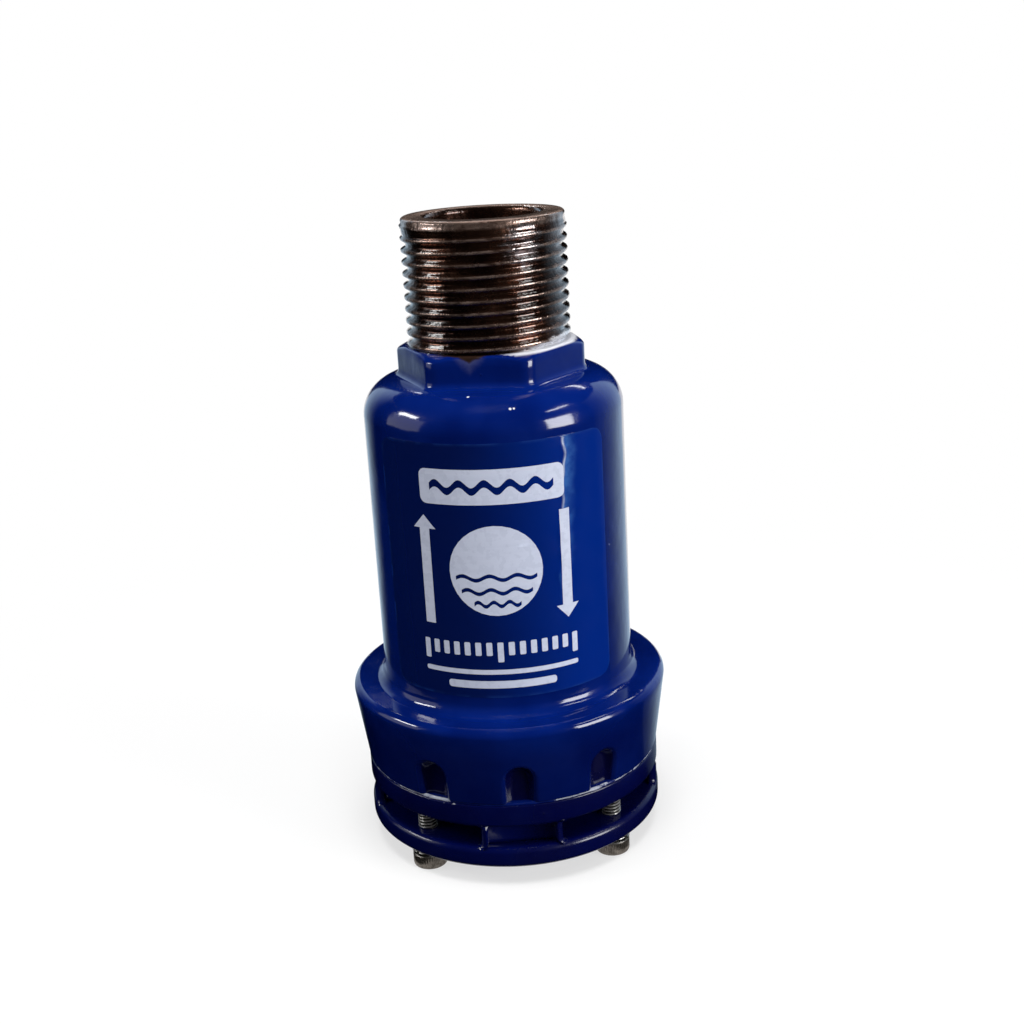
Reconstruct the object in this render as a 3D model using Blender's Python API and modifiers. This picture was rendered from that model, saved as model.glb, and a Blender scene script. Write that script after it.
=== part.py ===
"""Air release valve for water pipes, with a one inch threaded inlet.

It stands the way the photograph shows it: on the heads of its four cover screws,
with the inlet thread up. In service it is screwed on the pipe the other way up.
Metres, +Z up, origin on the axis at the height of the screw heads.

Inside, a guided float hangs on a stem. Here its own weight rests it on the rubber
seat in the cover; it slides along the axis towards the inlet.
"""

import math

import bmesh
import bpy
from mathutils import Matrix, Vector

MM = 0.001

# Clearances, and how far a cutting solid runs past the faces it cuts
FIT_GAP = 0.3 * MM
CLOSE_GAP = 0.15 * MM
CUT_PAST = 1.0 * MM

# Facets around a turned piece or a hole, and along an arc
LARGE_STEPS = 48
INNER_STEPS = 36
SMALL_STEPS = 20
HOLE_STEPS = 16
TINY_STEPS = 12
SHOULDER_STEPS = 5
NOTCH_STEPS = 8
WINDOW_STEPS = 10
EDGE_STEPS = 3
CORNER_STEPS = 4
SHARP_ANGLE = math.radians(35)

# Cover screws and their lock washers
SCREW_COUNT = 4
SCREW_RADIUS = 2.0 * MM
SCREW_INSET = 4.7 * MM
SCREW_MARGIN = 4.2 * MM
SCREW_GRIP = 10.0 * MM
SCREW_TIP_CHAMFER = 0.6 * MM
HEAD_RADIUS = 3.65 * MM
HEAD_HEIGHT = 2.9 * MM
HEAD_CHAMFER = 0.35 * MM
SOCKET_ACROSS_FLATS = 3.0 * MM
SOCKET_DEPTH = 1.6 * MM
WASHER_THICKNESS = 0.9 * MM
WASHER_WIDTH = 1.4 * MM
WASHER_SPLIT = 0.8 * MM

# Cover casting
CAP_PROUD = 0.1 * MM
CAP_THICKNESS = 4.5 * MM
CAP_EDGE = 1.2 * MM
WINDOW_HEIGHT = 4.7 * MM
WINDOW_ANGLE = math.radians(58)
LUG_INSET = 0.5 * MM
PLATE_THICKNESS = 4.6 * MM
SPIGOT_HEIGHT = 5.0 * MM
SPIGOT_WALL = 4.9 * MM

# Flat gasket between the castings, as wide as their faces
GASKET_THICKNESS = 0.7 * MM
GASKET_SETBACK = 0.15 * MM

# Rubber seat, the ring that holds it and the ring's screws
SEAT_WIDTH = 7.0 * MM
SEAT_THICKNESS = 3.0 * MM
RETAINER_LAP = 2.2 * MM
RETAINER_MARGIN = 0.5 * MM
RETAINER_THICKNESS = 2.0 * MM
RETAINER_SCREW_COUNT = 3
RETAINER_SCREW_RADIUS = 1.25 * MM
RETAINER_SCREW_LENGTH = 10.0 * MM
RETAINER_HEAD_RADIUS = 2.2 * MM
RETAINER_HEAD_HEIGHT = 1.6 * MM
RETAINER_CROWN_RADIUS = 1.3 * MM
RETAINER_CROWN_DROP = 0.9 * MM

# Body casting, outside
FLANGE_FLARE = 2.0 * MM
FLANGE_HEIGHT = 16.7 * MM
FLANGE_EDGE = 1.8 * MM
BARREL_RADIUS = 26.5 * MM
BARREL_FOOT_FILLET = 2.5 * MM
BARREL_HEIGHT = 57.2 * MM
SHOULDER_LAND = 2.2 * MM
HEX_ACROSS_FLATS = 34.0 * MM
HEX_HEIGHT = 6.4 * MM
HEX_CORNER = 3.5 * MM
HEX_ROOT = 1.0 * MM
HEX_EDGE_REACH = 4.0 * MM
HEX_EDGE_SLOPE = math.radians(25)
HEX_TURN = math.radians(-9.65)
NOTCH_GROUPS = 2
NOTCHES_PER_GROUP = 3
NOTCH_SPACING = math.radians(33)
NOTCH_WIDTH = 6.6 * MM
NOTCH_HEIGHT = 8.4 * MM
NOTCH_DEPTH = 1.5 * MM

# Inlet thread: one inch pipe thread, eleven to the inch
STUB_HEIGHT = 25.3 * MM
THREAD_RADIUS = 16.62 * MM
THREAD_PITCH = 25.4 / 11 * MM
THREAD_DEPTH = 1.48 * MM
THREAD_CRESTS = 10
COLLAR_HEIGHT = 1.5 * MM
COLLAR_STEP = 0.4 * MM
RIM_CHAMFER = 0.7 * MM
STUB_WALL = 3.64 * MM

# Body casting, inside
BARREL_WALL = 4.0 * MM
MOUTH_CHAMFER = 0.7 * MM
BAFFLE_SEAT_DROP = 9.1 * MM
BAFFLE_SEAT_WIDTH = 2.5 * MM
THROAT_DROP = 3.5 * MM

# Inlet baffle with its guide boss, and the ring that holds it
BAFFLE_THICKNESS = 3.0 * MM
BAFFLE_HOLES = 6
BAFFLE_HOLE_RADIUS = 4.0 * MM
BOSS_WALL = 2.0 * MM
BOSS_BELOW = 6.0 * MM
BOSS_ABOVE = 3.0 * MM
BUSH_WALL = 1.6 * MM
BUSH_FLANGE = 1.0 * MM
SNAP_RING_THICKNESS = 1.2 * MM
SNAP_RING_WIDTH = 2.2 * MM
SNAP_RING_GRIP = 0.9 * MM
SNAP_RING_GAP = math.radians(24)
SNAP_EAR_ANGLE = math.radians(10)
SNAP_EAR_LENGTH = 2.6 * MM
SNAP_HOLE_RADIUS = 0.8 * MM

# Float, its stem, and the washer and nut under it
FLOAT_STROKE = 15.0 * MM
FLOAT_CLEARANCE = 3.5 * MM
FLOAT_NOSE_EXTRA = 3.0 * MM
FLOAT_EDGE = 3.0 * MM
SEALING_MARGIN = 1.0 * MM
STEM_RADIUS = 2.5 * MM
STEM_CLEARANCE = 0.15 * MM
STEM_ABOVE_BUSH = 2.8 * MM
STEM_COLLAR_WIDTH = 2.5 * MM
STEM_COLLAR_HEIGHT = 2.5 * MM
STEM_WASHER_WIDTH = 2.0 * MM
STEM_WASHER_THICKNESS = 1.0 * MM
NUT_ACROSS_FLATS = 8.0 * MM
NUT_HEIGHT = 4.0 * MM
STEM_BELOW_NUT = 1.0 * MM
STEM_CHAMFER = 0.5 * MM

# Radii that follow from those sizes
CHAMBER_RADIUS = BARREL_RADIUS - BARREL_WALL
SPIGOT_RADIUS = CHAMBER_RADIUS - FIT_GAP
SCREW_CIRCLE = CHAMBER_RADIUS + SCREW_INSET
FLANGE_FOOT_RADIUS = SCREW_CIRCLE + SCREW_MARGIN
FLANGE_TOP_RADIUS = FLANGE_FOOT_RADIUS + FLANGE_FLARE
CAP_RADIUS = FLANGE_FOOT_RADIUS + CAP_PROUD
LUG_INNER_RADIUS = CHAMBER_RADIUS - LUG_INSET
SHOULDER_TOP_RADIUS = HEX_ACROSS_FLATS / 2 + SHOULDER_LAND
SHOULDER_RADIUS = BARREL_RADIUS - SHOULDER_TOP_RADIUS
THREAD_ROOT_RADIUS = THREAD_RADIUS - THREAD_DEPTH
THREAD_COLLAR_RADIUS = THREAD_RADIUS - COLLAR_STEP
BORE_RADIUS = THREAD_ROOT_RADIUS - STUB_WALL
SCREW_HOLE_RADIUS = SCREW_RADIUS + FIT_GAP
WASHER_RADIUS = SCREW_HOLE_RADIUS + WASHER_WIDTH
RECESS_RADIUS = SPIGOT_RADIUS - SPIGOT_WALL
SEAT_OUTER_RADIUS = RECESS_RADIUS - FIT_GAP
ORIFICE_RADIUS = SEAT_OUTER_RADIUS - SEAT_WIDTH
SEALING_RADIUS = ORIFICE_RADIUS + SEALING_MARGIN
RETAINER_INNER_RADIUS = SEAT_OUTER_RADIUS - RETAINER_LAP
RETAINER_OUTER_RADIUS = SPIGOT_RADIUS - RETAINER_MARGIN
RETAINER_SCREW_CIRCLE = (RECESS_RADIUS + RETAINER_OUTER_RADIUS) / 2
RETAINER_HOLE_RADIUS = RETAINER_SCREW_RADIUS + FIT_GAP
BUSH_BORE = STEM_RADIUS + STEM_CLEARANCE
BUSH_RADIUS = BUSH_BORE + BUSH_WALL
BUSH_HOLE_RADIUS = BUSH_RADIUS + FIT_GAP
BOSS_RADIUS = BUSH_HOLE_RADIUS + BOSS_WALL
BAFFLE_RADIUS = CHAMBER_RADIUS - FIT_GAP
BAFFLE_HOLE_CIRCLE = (BOSS_RADIUS + BAFFLE_RADIUS) / 2
FLOAT_RADIUS = CHAMBER_RADIUS - FLOAT_CLEARANCE
FLOAT_NOSE_RADIUS = FLOAT_RADIUS + FLOAT_NOSE_EXTRA
STEM_COLLAR_RADIUS = STEM_RADIUS + STEM_COLLAR_WIDTH
STEM_WASHER_RADIUS = STEM_RADIUS + STEM_WASHER_WIDTH
STEM_HOLE_RADIUS = STEM_RADIUS + FIT_GAP

# Heights of the cover, from the screw heads up
Z_WASHER = HEAD_HEIGHT + CLOSE_GAP
Z_CAP = Z_WASHER + WASHER_THICKNESS + CLOSE_GAP
Z_WINDOW = Z_CAP + CAP_THICKNESS
Z_PLATE = Z_WINDOW + WINDOW_HEIGHT
Z_COVER_FACE = Z_PLATE + PLATE_THICKNESS
Z_SPIGOT = Z_COVER_FACE + SPIGOT_HEIGHT
Z_SCREW_TIP = Z_COVER_FACE + SCREW_GRIP

# Heights of the gasket and the body
Z_GASKET = Z_COVER_FACE + CLOSE_GAP
Z_BODY_FACE = Z_GASKET + GASKET_THICKNESS + CLOSE_GAP
Z_FLANGE = Z_BODY_FACE + FLANGE_HEIGHT
Z_SHOULDER = Z_FLANGE + BARREL_HEIGHT
Z_HEX = Z_SHOULDER + SHOULDER_RADIUS
Z_STUB = Z_HEX + HEX_HEIGHT
Z_RIM = Z_STUB + STUB_HEIGHT
Z_BAFFLE_SEAT = Z_HEX - BAFFLE_SEAT_DROP
Z_THROAT = Z_HEX - THROAT_DROP

# Heights of the seat
Z_RECESS = Z_SPIGOT - SEAT_THICKNESS
Z_SEAT_TOP = Z_SPIGOT + FIT_GAP
Z_RETAINER = Z_SEAT_TOP + FIT_GAP
Z_RETAINER_HEAD = Z_RETAINER + RETAINER_THICKNESS + FIT_GAP

# Heights of the guide
Z_BAFFLE_TOP = Z_BAFFLE_SEAT - FIT_GAP
Z_BAFFLE = Z_BAFFLE_TOP - BAFFLE_THICKNESS
Z_BOSS = Z_BAFFLE - BOSS_BELOW
Z_BUSH_FLANGE = Z_BOSS - FIT_GAP
Z_BUSH = Z_BUSH_FLANGE - BUSH_FLANGE
Z_BUSH_TOP = Z_BAFFLE_TOP + BOSS_ABOVE
Z_SNAP_RING = Z_BAFFLE - FIT_GAP - SNAP_RING_THICKNESS

# Heights of the float, resting a gap above the seat, with its stroke free above it
Z_SEALING = Z_SEAT_TOP + FIT_GAP
Z_NOSE_CENTRE = Z_SEALING + math.sqrt(FLOAT_NOSE_RADIUS**2 - SEALING_RADIUS**2)
Z_TIP = Z_NOSE_CENTRE - math.sqrt(FLOAT_NOSE_RADIUS**2 - STEM_WASHER_RADIUS**2)
Z_COLLAR_TOP = Z_BUSH - FIT_GAP - FLOAT_STROKE
Z_COLLAR = Z_COLLAR_TOP - STEM_COLLAR_HEIGHT
Z_FLOAT_TOP = Z_COLLAR - FIT_GAP
Z_STEM_WASHER = Z_TIP - FIT_GAP - STEM_WASHER_THICKNESS
Z_NUT = Z_STEM_WASHER - FIT_GAP - NUT_HEIGHT
Z_STEM_FOOT = Z_NUT - STEM_BELOW_NUT
Z_STEM_TOP = Z_BUSH_TOP + STEM_ABOVE_BUSH

SECTOR = 2 * math.pi / SCREW_COUNT
FIRST_SCREW = -math.pi / 2 + SECTOR / 2


def clear_scene():
    for old in list(bpy.data.objects):
        bpy.data.objects.remove(old, do_unlink=True)


def new_collection(name, hidden=False):
    collection = bpy.data.collections.new(name)
    bpy.context.scene.collection.children.link(collection)
    collection.hide_render = hidden
    return collection


def finish(name, colour, metallic, roughness):
    """A material with one colour, one metallic value and one roughness."""
    material = bpy.data.materials.new(name)
    material.use_nodes = True
    shader = material.node_tree.nodes["Principled BSDF"]
    shader.inputs["Base Color"].default_value = (*colour, 1)
    shader.inputs["Metallic"].default_value = metallic
    shader.inputs["Roughness"].default_value = roughness
    material.diffuse_color = (*colour, 1)
    return material


def place_object(name, mesh, collection, material=None, parent=None):
    piece = bpy.data.objects.new(name, mesh)
    collection.objects.link(piece)
    piece.parent = parent
    if material and not mesh.materials:
        mesh.materials.append(material)
    return piece


def cutter(name, mesh):
    """A helper solid that shapes another piece and is no piece itself."""
    tool = place_object(name, mesh, cutters)
    tool.hide_render = True
    tool.display_type = "WIRE"
    return tool


def arc(centre_r, centre_z, radius, start, end, count):
    """Profile points on an arc, its angles in degrees from +X towards +Z."""
    angles = [math.radians(start + (end - start) * i / count) for i in range(count + 1)]
    return [(centre_r + radius * math.cos(a), centre_z + radius * math.sin(a)) for a in angles]


def circle(radius, count, centre=(0, 0), turn=0.0):
    angles = [turn + 2 * math.pi * i / count for i in range(count)]
    return [(centre[0] + radius * math.cos(a), centre[1] + radius * math.sin(a)) for a in angles]


def sweep(radius, start, end, count):
    """Outline points on a circle about the axis, from one angle to another."""
    angles = [start + (end - start) * i / count for i in range(count + 1)]
    return [(radius * math.cos(a), radius * math.sin(a)) for a in angles]


def hexagon(across_flats):
    """A hexagon with sharp corners, as on a nut or in a socket."""
    return circle(across_flats / math.sqrt(3), 6)


def rounded_hexagon(across_flats, corner, turn):
    """A hexagon whose corners are rounded; one flat faces the turn direction."""
    half = math.pi / 6
    reach = (across_flats / 2 - corner) / math.cos(half)
    points = []
    for side in range(6):
        middle = turn + half + 2 * half * side
        centre = on_circle(reach, middle)
        rounding = sweep(corner, middle - half, middle + half, CORNER_STEPS)
        points += [(centre.x + x, centre.y + y) for x, y in rounding]
    return points


def on_circle(radius, angle, z=0.0):
    return Vector((radius * math.cos(angle), radius * math.sin(angle), z))


def turned(name, profile, collection, material=None, steps=LARGE_STEPS, parent=None):
    """A closed profile in the XZ plane, its outer side listed downwards, spun about Z."""
    mesh = bpy.data.meshes.new(name)
    points = [(r, 0, z) for r, z in profile]
    edges = [(i, (i + 1) % len(points)) for i in range(len(points))]
    mesh.from_pydata(points, edges, [])
    piece = place_object(name, mesh, collection, material, parent)
    spin = piece.modifiers.new("Spin", "SCREW")
    spin.axis = "Z"
    spin.steps = steps
    spin.render_steps = steps
    spin.use_merge_vertices = True
    spin.merge_threshold = 1e-6
    return piece


def evaluated_mesh(piece):
    """The mesh of a piece with its modifiers, as a mesh of its own; the piece is removed."""
    graph = bpy.context.evaluated_depsgraph_get()
    mesh = bpy.data.meshes.new_from_object(piece.evaluated_get(graph))
    bpy.data.objects.remove(piece, do_unlink=True)
    return mesh


def slab(name, loops, low, high):
    """Flat outlines filled between their loops and given a thickness from low to high."""
    curve = bpy.data.curves.new(name, "CURVE")
    curve.dimensions = "2D"
    curve.fill_mode = "BOTH"
    curve.extrude = (high - low) / 2
    for points in loops:
        spline = curve.splines.new("POLY")
        spline.points.add(len(points) - 1)
        for point, (x, y) in zip(spline.points, points):
            point.co = (x, y, 0, 1)
        spline.use_cyclic_u = True
    holder = bpy.data.objects.new(name, curve)
    bpy.context.scene.collection.objects.link(holder)
    mesh = evaluated_mesh(holder)
    shape = bmesh.new()
    shape.from_mesh(mesh)
    bmesh.ops.remove_doubles(shape, verts=shape.verts, dist=1e-6)
    bmesh.ops.translate(shape, verts=shape.verts, vec=(0, 0, (high + low) / 2))
    bmesh.ops.recalc_face_normals(shape, faces=shape.faces)
    shape.to_mesh(mesh)
    shape.free()
    return mesh


def copies(name, mesh, matrices):
    """One mesh holding a copy of another at each matrix."""
    joined = bmesh.new()
    for matrix in matrices:
        single = mesh.copy()
        single.transform(matrix)
        joined.from_mesh(single)
        bpy.data.meshes.remove(single)
    result = bpy.data.meshes.new(name)
    joined.to_mesh(result)
    joined.free()
    return result


def rods(name, radius, places, low, high, steps=HOLE_STEPS):
    """Upright round rods at several places, for cutting holes."""
    shape = bmesh.new()
    for place in places:
        middle = Matrix.Translation((place.x, place.y, (low + high) / 2))
        bmesh.ops.create_cone(
            shape,
            cap_ends=True,
            segments=steps,
            radius1=radius,
            radius2=radius,
            depth=high - low,
            matrix=middle,
        )
    mesh = bpy.data.meshes.new(name)
    shape.to_mesh(mesh)
    shape.free()
    return mesh


def combine(piece, tool, operation):
    step = piece.modifiers.new(tool.name, "BOOLEAN")
    step.object = tool
    step.operation = operation
    step.solver = "EXACT"


def cut(piece, tool):
    combine(piece, tool, "DIFFERENCE")


def join(piece, tool):
    combine(piece, tool, "UNION")


def settle(collection):
    """Turns the pieces into plain meshes, smooth where round and sharp at their edges."""
    graph = bpy.context.evaluated_depsgraph_get()
    for piece in collection.objects:
        if piece.modifiers:
            piece.data = bpy.data.meshes.new_from_object(piece.evaluated_get(graph))
            piece.modifiers.clear()
        if piece.type == "MESH":
            piece.data.shade_smooth()
            piece.data.set_sharp_from_angle(angle=SHARP_ANGLE)


def screw_places(count=SCREW_COUNT, radius=SCREW_CIRCLE, first=FIRST_SCREW):
    return [on_circle(radius, first + 2 * math.pi * i / count) for i in range(count)]


def thread_profile():
    """The threaded stub's outside, from the end face and its collar down to the hexagon."""
    points = [
        (THREAD_COLLAR_RADIUS - RIM_CHAMFER, Z_RIM),
        (THREAD_COLLAR_RADIUS, Z_RIM - RIM_CHAMFER),
        (THREAD_COLLAR_RADIUS, Z_RIM - COLLAR_HEIGHT),
    ]
    for i in range(1, THREAD_CRESTS):
        crest = Z_RIM - COLLAR_HEIGHT - i * THREAD_PITCH
        points.append((THREAD_ROOT_RADIUS, crest + THREAD_PITCH / 2))
        points.append((THREAD_RADIUS, crest))
    last = Z_RIM - COLLAR_HEIGHT - (THREAD_CRESTS - 0.5) * THREAD_PITCH
    points.append((THREAD_ROOT_RADIUS, last))
    points.append((THREAD_ROOT_RADIUS, Z_HEX))
    return points


def body_profile():
    """The casting's section: down the outside from the inlet, then up the inside."""
    outside = thread_profile()
    inset = BARREL_RADIUS - SHOULDER_RADIUS
    outside += arc(inset, Z_SHOULDER, SHOULDER_RADIUS, 90, 0, SHOULDER_STEPS)
    fillet = BARREL_FOOT_FILLET
    outside += arc(BARREL_RADIUS + fillet, Z_FLANGE + fillet, fillet, 180, 270, EDGE_STEPS)
    inset = FLANGE_TOP_RADIUS - FLANGE_EDGE
    outside += arc(inset, Z_FLANGE - FLANGE_EDGE, FLANGE_EDGE, 90, 0, EDGE_STEPS)
    outside.append((FLANGE_FOOT_RADIUS, Z_BODY_FACE))
    groove = CHAMBER_RADIUS + SNAP_RING_GRIP + FIT_GAP
    inside = [
        (CHAMBER_RADIUS + MOUTH_CHAMFER, Z_BODY_FACE),
        (CHAMBER_RADIUS, Z_BODY_FACE + MOUTH_CHAMFER),
        (CHAMBER_RADIUS, Z_SNAP_RING - FIT_GAP),
        (groove, Z_SNAP_RING - FIT_GAP),
        (groove, Z_SNAP_RING + SNAP_RING_THICKNESS + FIT_GAP),
        (CHAMBER_RADIUS, Z_SNAP_RING + SNAP_RING_THICKNESS + FIT_GAP),
        (CHAMBER_RADIUS, Z_BAFFLE_SEAT),
        (CHAMBER_RADIUS - BAFFLE_SEAT_WIDTH, Z_BAFFLE_SEAT),
        (BORE_RADIUS, Z_THROAT),
        (BORE_RADIUS, Z_RIM),
    ]
    return outside + inside


def notch_matrices():
    """Places of the notches: one group faces -Y, and the others lie evenly round the axis."""
    found = []
    for group in range(NOTCH_GROUPS):
        middle = 2 * math.pi * group / NOTCH_GROUPS - math.pi / 2
        for i in range(NOTCHES_PER_GROUP):
            angle = middle + NOTCH_SPACING * (i - (NOTCHES_PER_GROUP - 1) / 2)
            found.append(Matrix.Rotation(angle, 4, "Z"))
    return found


def notch_mesh():
    """A round-topped slot seen from outside, reaching out past the flange."""
    half = NOTCH_WIDTH / 2
    straight = NOTCH_HEIGHT - half
    outline = [(-half, -FIT_GAP), (half, -FIT_GAP)]
    outline += arc(0, straight, half, 0, 180, NOTCH_STEPS)
    floor = FLANGE_FOOT_RADIUS - NOTCH_DEPTH
    mesh = slab("notch", [outline], floor, FLANGE_TOP_RADIUS + CUT_PAST)
    upright = Matrix(((0, 0, 1, 0), (1, 0, 0, 0), (0, 1, 0, Z_BODY_FACE), (0, 0, 0, 1)))
    mesh.transform(upright)
    return mesh


def make_hexagon():
    """The wrench hexagon as a ring round the neck, its top corners turned to a cone."""
    inner = (BORE_RADIUS + THREAD_ROOT_RADIUS) / 2
    foot = Z_HEX - HEX_ROOT
    outline = rounded_hexagon(HEX_ACROSS_FLATS, HEX_CORNER, HEX_TURN - math.pi / 2)
    loops = [outline, circle(inner, LARGE_STEPS)]
    ring = cutter("body_hexagon", slab("body_hexagon", loops, foot, Z_STUB))
    flat = HEX_ACROSS_FLATS / 2
    outer = flat + HEX_EDGE_REACH
    profile = [
        (BORE_RADIUS, Z_STUB + CUT_PAST),
        (flat, Z_STUB + CUT_PAST),
        (flat, Z_STUB),
        (outer, Z_STUB - HEX_EDGE_REACH * math.tan(HEX_EDGE_SLOPE)),
        (outer, foot - CUT_PAST),
        (BORE_RADIUS, foot - CUT_PAST),
    ]
    trim = turned("hexagon_trim", profile, cutters)
    trim.hide_render = True
    trim.display_type = "WIRE"
    combine(ring, trim, "INTERSECT")
    return ring


def make_body():
    body = turned("body", body_profile(), parts, enamel)
    join(body, make_hexagon())
    notches = copies("body_notches", notch_mesh(), notch_matrices())
    cut(body, cutter("body_notches", notches))
    depth = Z_SCREW_TIP + 2 * FIT_GAP
    tapped = rods("body_tapped_holes", SCREW_HOLE_RADIUS, screw_places(), Z_COVER_FACE, depth)
    cut(body, cutter("body_tapped_holes", tapped))


def cover_profile():
    """The cover's section with its chamber closed all round; the windows are cut after."""
    outside = [
        (SPIGOT_RADIUS, Z_SPIGOT),
        (SPIGOT_RADIUS, Z_COVER_FACE),
        (FLANGE_FOOT_RADIUS, Z_COVER_FACE),
        (FLANGE_FOOT_RADIUS, Z_WINDOW),
    ]
    inset = CAP_RADIUS - CAP_EDGE
    outside += arc(inset, Z_WINDOW - CAP_EDGE, CAP_EDGE, 60, 0, EDGE_STEPS)
    outside += arc(inset, Z_CAP + CAP_EDGE, CAP_EDGE, 0, -90, EDGE_STEPS)
    centre = [(0, Z_CAP), (0, Z_WINDOW)]
    inside = [
        (LUG_INNER_RADIUS, Z_WINDOW),
        (LUG_INNER_RADIUS, Z_PLATE),
        (ORIFICE_RADIUS, Z_PLATE),
        (ORIFICE_RADIUS, Z_RECESS),
        (RECESS_RADIUS, Z_RECESS),
        (RECESS_RADIUS, Z_SPIGOT),
    ]
    return outside + centre + inside


def window_mesh():
    """A flat ring sector that opens one side window between two lugs."""
    half = WINDOW_ANGLE / 2
    outline = sweep(CAP_RADIUS + CUT_PAST, -half, half, WINDOW_STEPS)
    outline += sweep(LUG_INNER_RADIUS - CUT_PAST, half, -half, WINDOW_STEPS)
    return slab("window", [outline], Z_WINDOW, Z_PLATE)


def make_cover():
    cover = turned("cover", cover_profile(), parts, enamel)
    turns = [Matrix.Rotation(FIRST_SCREW + SECTOR * i, 4, "Z") for i in range(SCREW_COUNT)]
    cut(cover, cutter("cover_windows", copies("cover_windows", window_mesh(), turns)))
    through = rods("cover_screw_holes", SCREW_HOLE_RADIUS, screw_places(), 0, Z_SPIGOT)
    cut(cover, cutter("cover_screw_holes", through))
    foot = Z_RETAINER_HEAD - RETAINER_SCREW_LENGTH - 2 * FIT_GAP
    cut(cover, retainer_holes("cover_tapped_holes", foot))


def retainer_screw_places():
    return screw_places(RETAINER_SCREW_COUNT, RETAINER_SCREW_CIRCLE, math.pi / 2)


def retainer_holes(name, low):
    high = Z_RETAINER_HEAD + CUT_PAST
    return cutter(name, rods(name, RETAINER_HOLE_RADIUS, retainer_screw_places(), low, high, TINY_STEPS))


def ring_profile(inner, outer, low, high):
    return [(inner, high), (outer, high), (outer, low), (inner, low)]


def make_seals():
    loops = [circle(FLANGE_FOOT_RADIUS - GASKET_SETBACK, LARGE_STEPS)]
    loops.append(circle(CHAMBER_RADIUS, LARGE_STEPS))
    loops += [circle(SCREW_HOLE_RADIUS, HOLE_STEPS, place.xy) for place in screw_places()]
    mesh = slab("cover_gasket", loops, Z_GASKET, Z_GASKET + GASKET_THICKNESS)
    place_object("cover_gasket", mesh, parts, fibre)
    low = Z_SEAT_TOP - SEAT_THICKNESS
    profile = [
        (SEALING_RADIUS, Z_SEAT_TOP),
        (SEAT_OUTER_RADIUS, Z_SEAT_TOP),
        (SEAT_OUTER_RADIUS, low),
        (ORIFICE_RADIUS, low),
        (ORIFICE_RADIUS, Z_SEAT_TOP - SEALING_MARGIN),
    ]
    turned("seat_ring", profile, parts, rubber, INNER_STEPS)


def make_retainer():
    high = Z_RETAINER + RETAINER_THICKNESS
    profile = ring_profile(RETAINER_INNER_RADIUS, RETAINER_OUTER_RADIUS, Z_RETAINER, high)
    retainer = turned("seat_retainer", profile, parts, brass, INNER_STEPS)
    cut(retainer, retainer_holes("retainer_holes", Z_RETAINER - CUT_PAST))
    foot = -RETAINER_SCREW_LENGTH
    crown = RETAINER_HEAD_HEIGHT
    profile = [
        (0, crown),
        (RETAINER_CROWN_RADIUS, crown),
        (RETAINER_HEAD_RADIUS, crown - RETAINER_CROWN_DROP),
        (RETAINER_HEAD_RADIUS, 0),
        (RETAINER_SCREW_RADIUS, 0),
        (RETAINER_SCREW_RADIUS, foot),
        (0, foot),
    ]
    mesh = evaluated_mesh(turned("retainer_screw", profile, parts, brass, TINY_STEPS))
    for i, place in enumerate(retainer_screw_places()):
        piece = place_object(f"retainer_screw_{i + 1}", mesh, parts, brass)
        piece.location = (place.x, place.y, Z_RETAINER_HEAD)


def screw_mesh():
    """A socket head screw, head down, its foot face at z = 0."""
    profile = [
        (0, Z_SCREW_TIP),
        (SCREW_RADIUS - SCREW_TIP_CHAMFER, Z_SCREW_TIP),
        (SCREW_RADIUS, Z_SCREW_TIP - SCREW_TIP_CHAMFER),
        (SCREW_RADIUS, HEAD_HEIGHT),
        (HEAD_RADIUS, HEAD_HEIGHT),
        (HEAD_RADIUS, HEAD_CHAMFER),
        (HEAD_RADIUS - HEAD_CHAMFER, 0),
        (0, 0),
    ]
    screw = turned("cover_screw", profile, parts, steel, SMALL_STEPS)
    socket = slab("screw_socket", [hexagon(SOCKET_ACROSS_FLATS)], -CUT_PAST, SOCKET_DEPTH)
    tool = cutter("screw_socket", socket)
    cut(screw, tool)
    mesh = evaluated_mesh(screw)
    bpy.data.objects.remove(tool, do_unlink=True)
    return mesh


def washer_mesh():
    """A split lock washer; its slit leaves along +X."""
    half = math.asin(WASHER_SPLIT / 2 / WASHER_RADIUS)
    outline = sweep(WASHER_RADIUS, half, 2 * math.pi - half, SMALL_STEPS)
    outline += sweep(SCREW_HOLE_RADIUS, 2 * math.pi - half, half, SMALL_STEPS)
    return slab("lock_washer", [outline], Z_WASHER, Z_WASHER + WASHER_THICKNESS)


def make_cover_screws():
    screw = screw_mesh()
    washer = washer_mesh()
    for i, place in enumerate(screw_places()):
        turn = FIRST_SCREW + SECTOR * i
        for name, mesh in (("cover_screw", screw), ("lock_washer", washer)):
            piece = place_object(f"{name}_{i + 1}", mesh, parts, steel)
            piece.location = place
            piece.rotation_euler.z = turn


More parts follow.
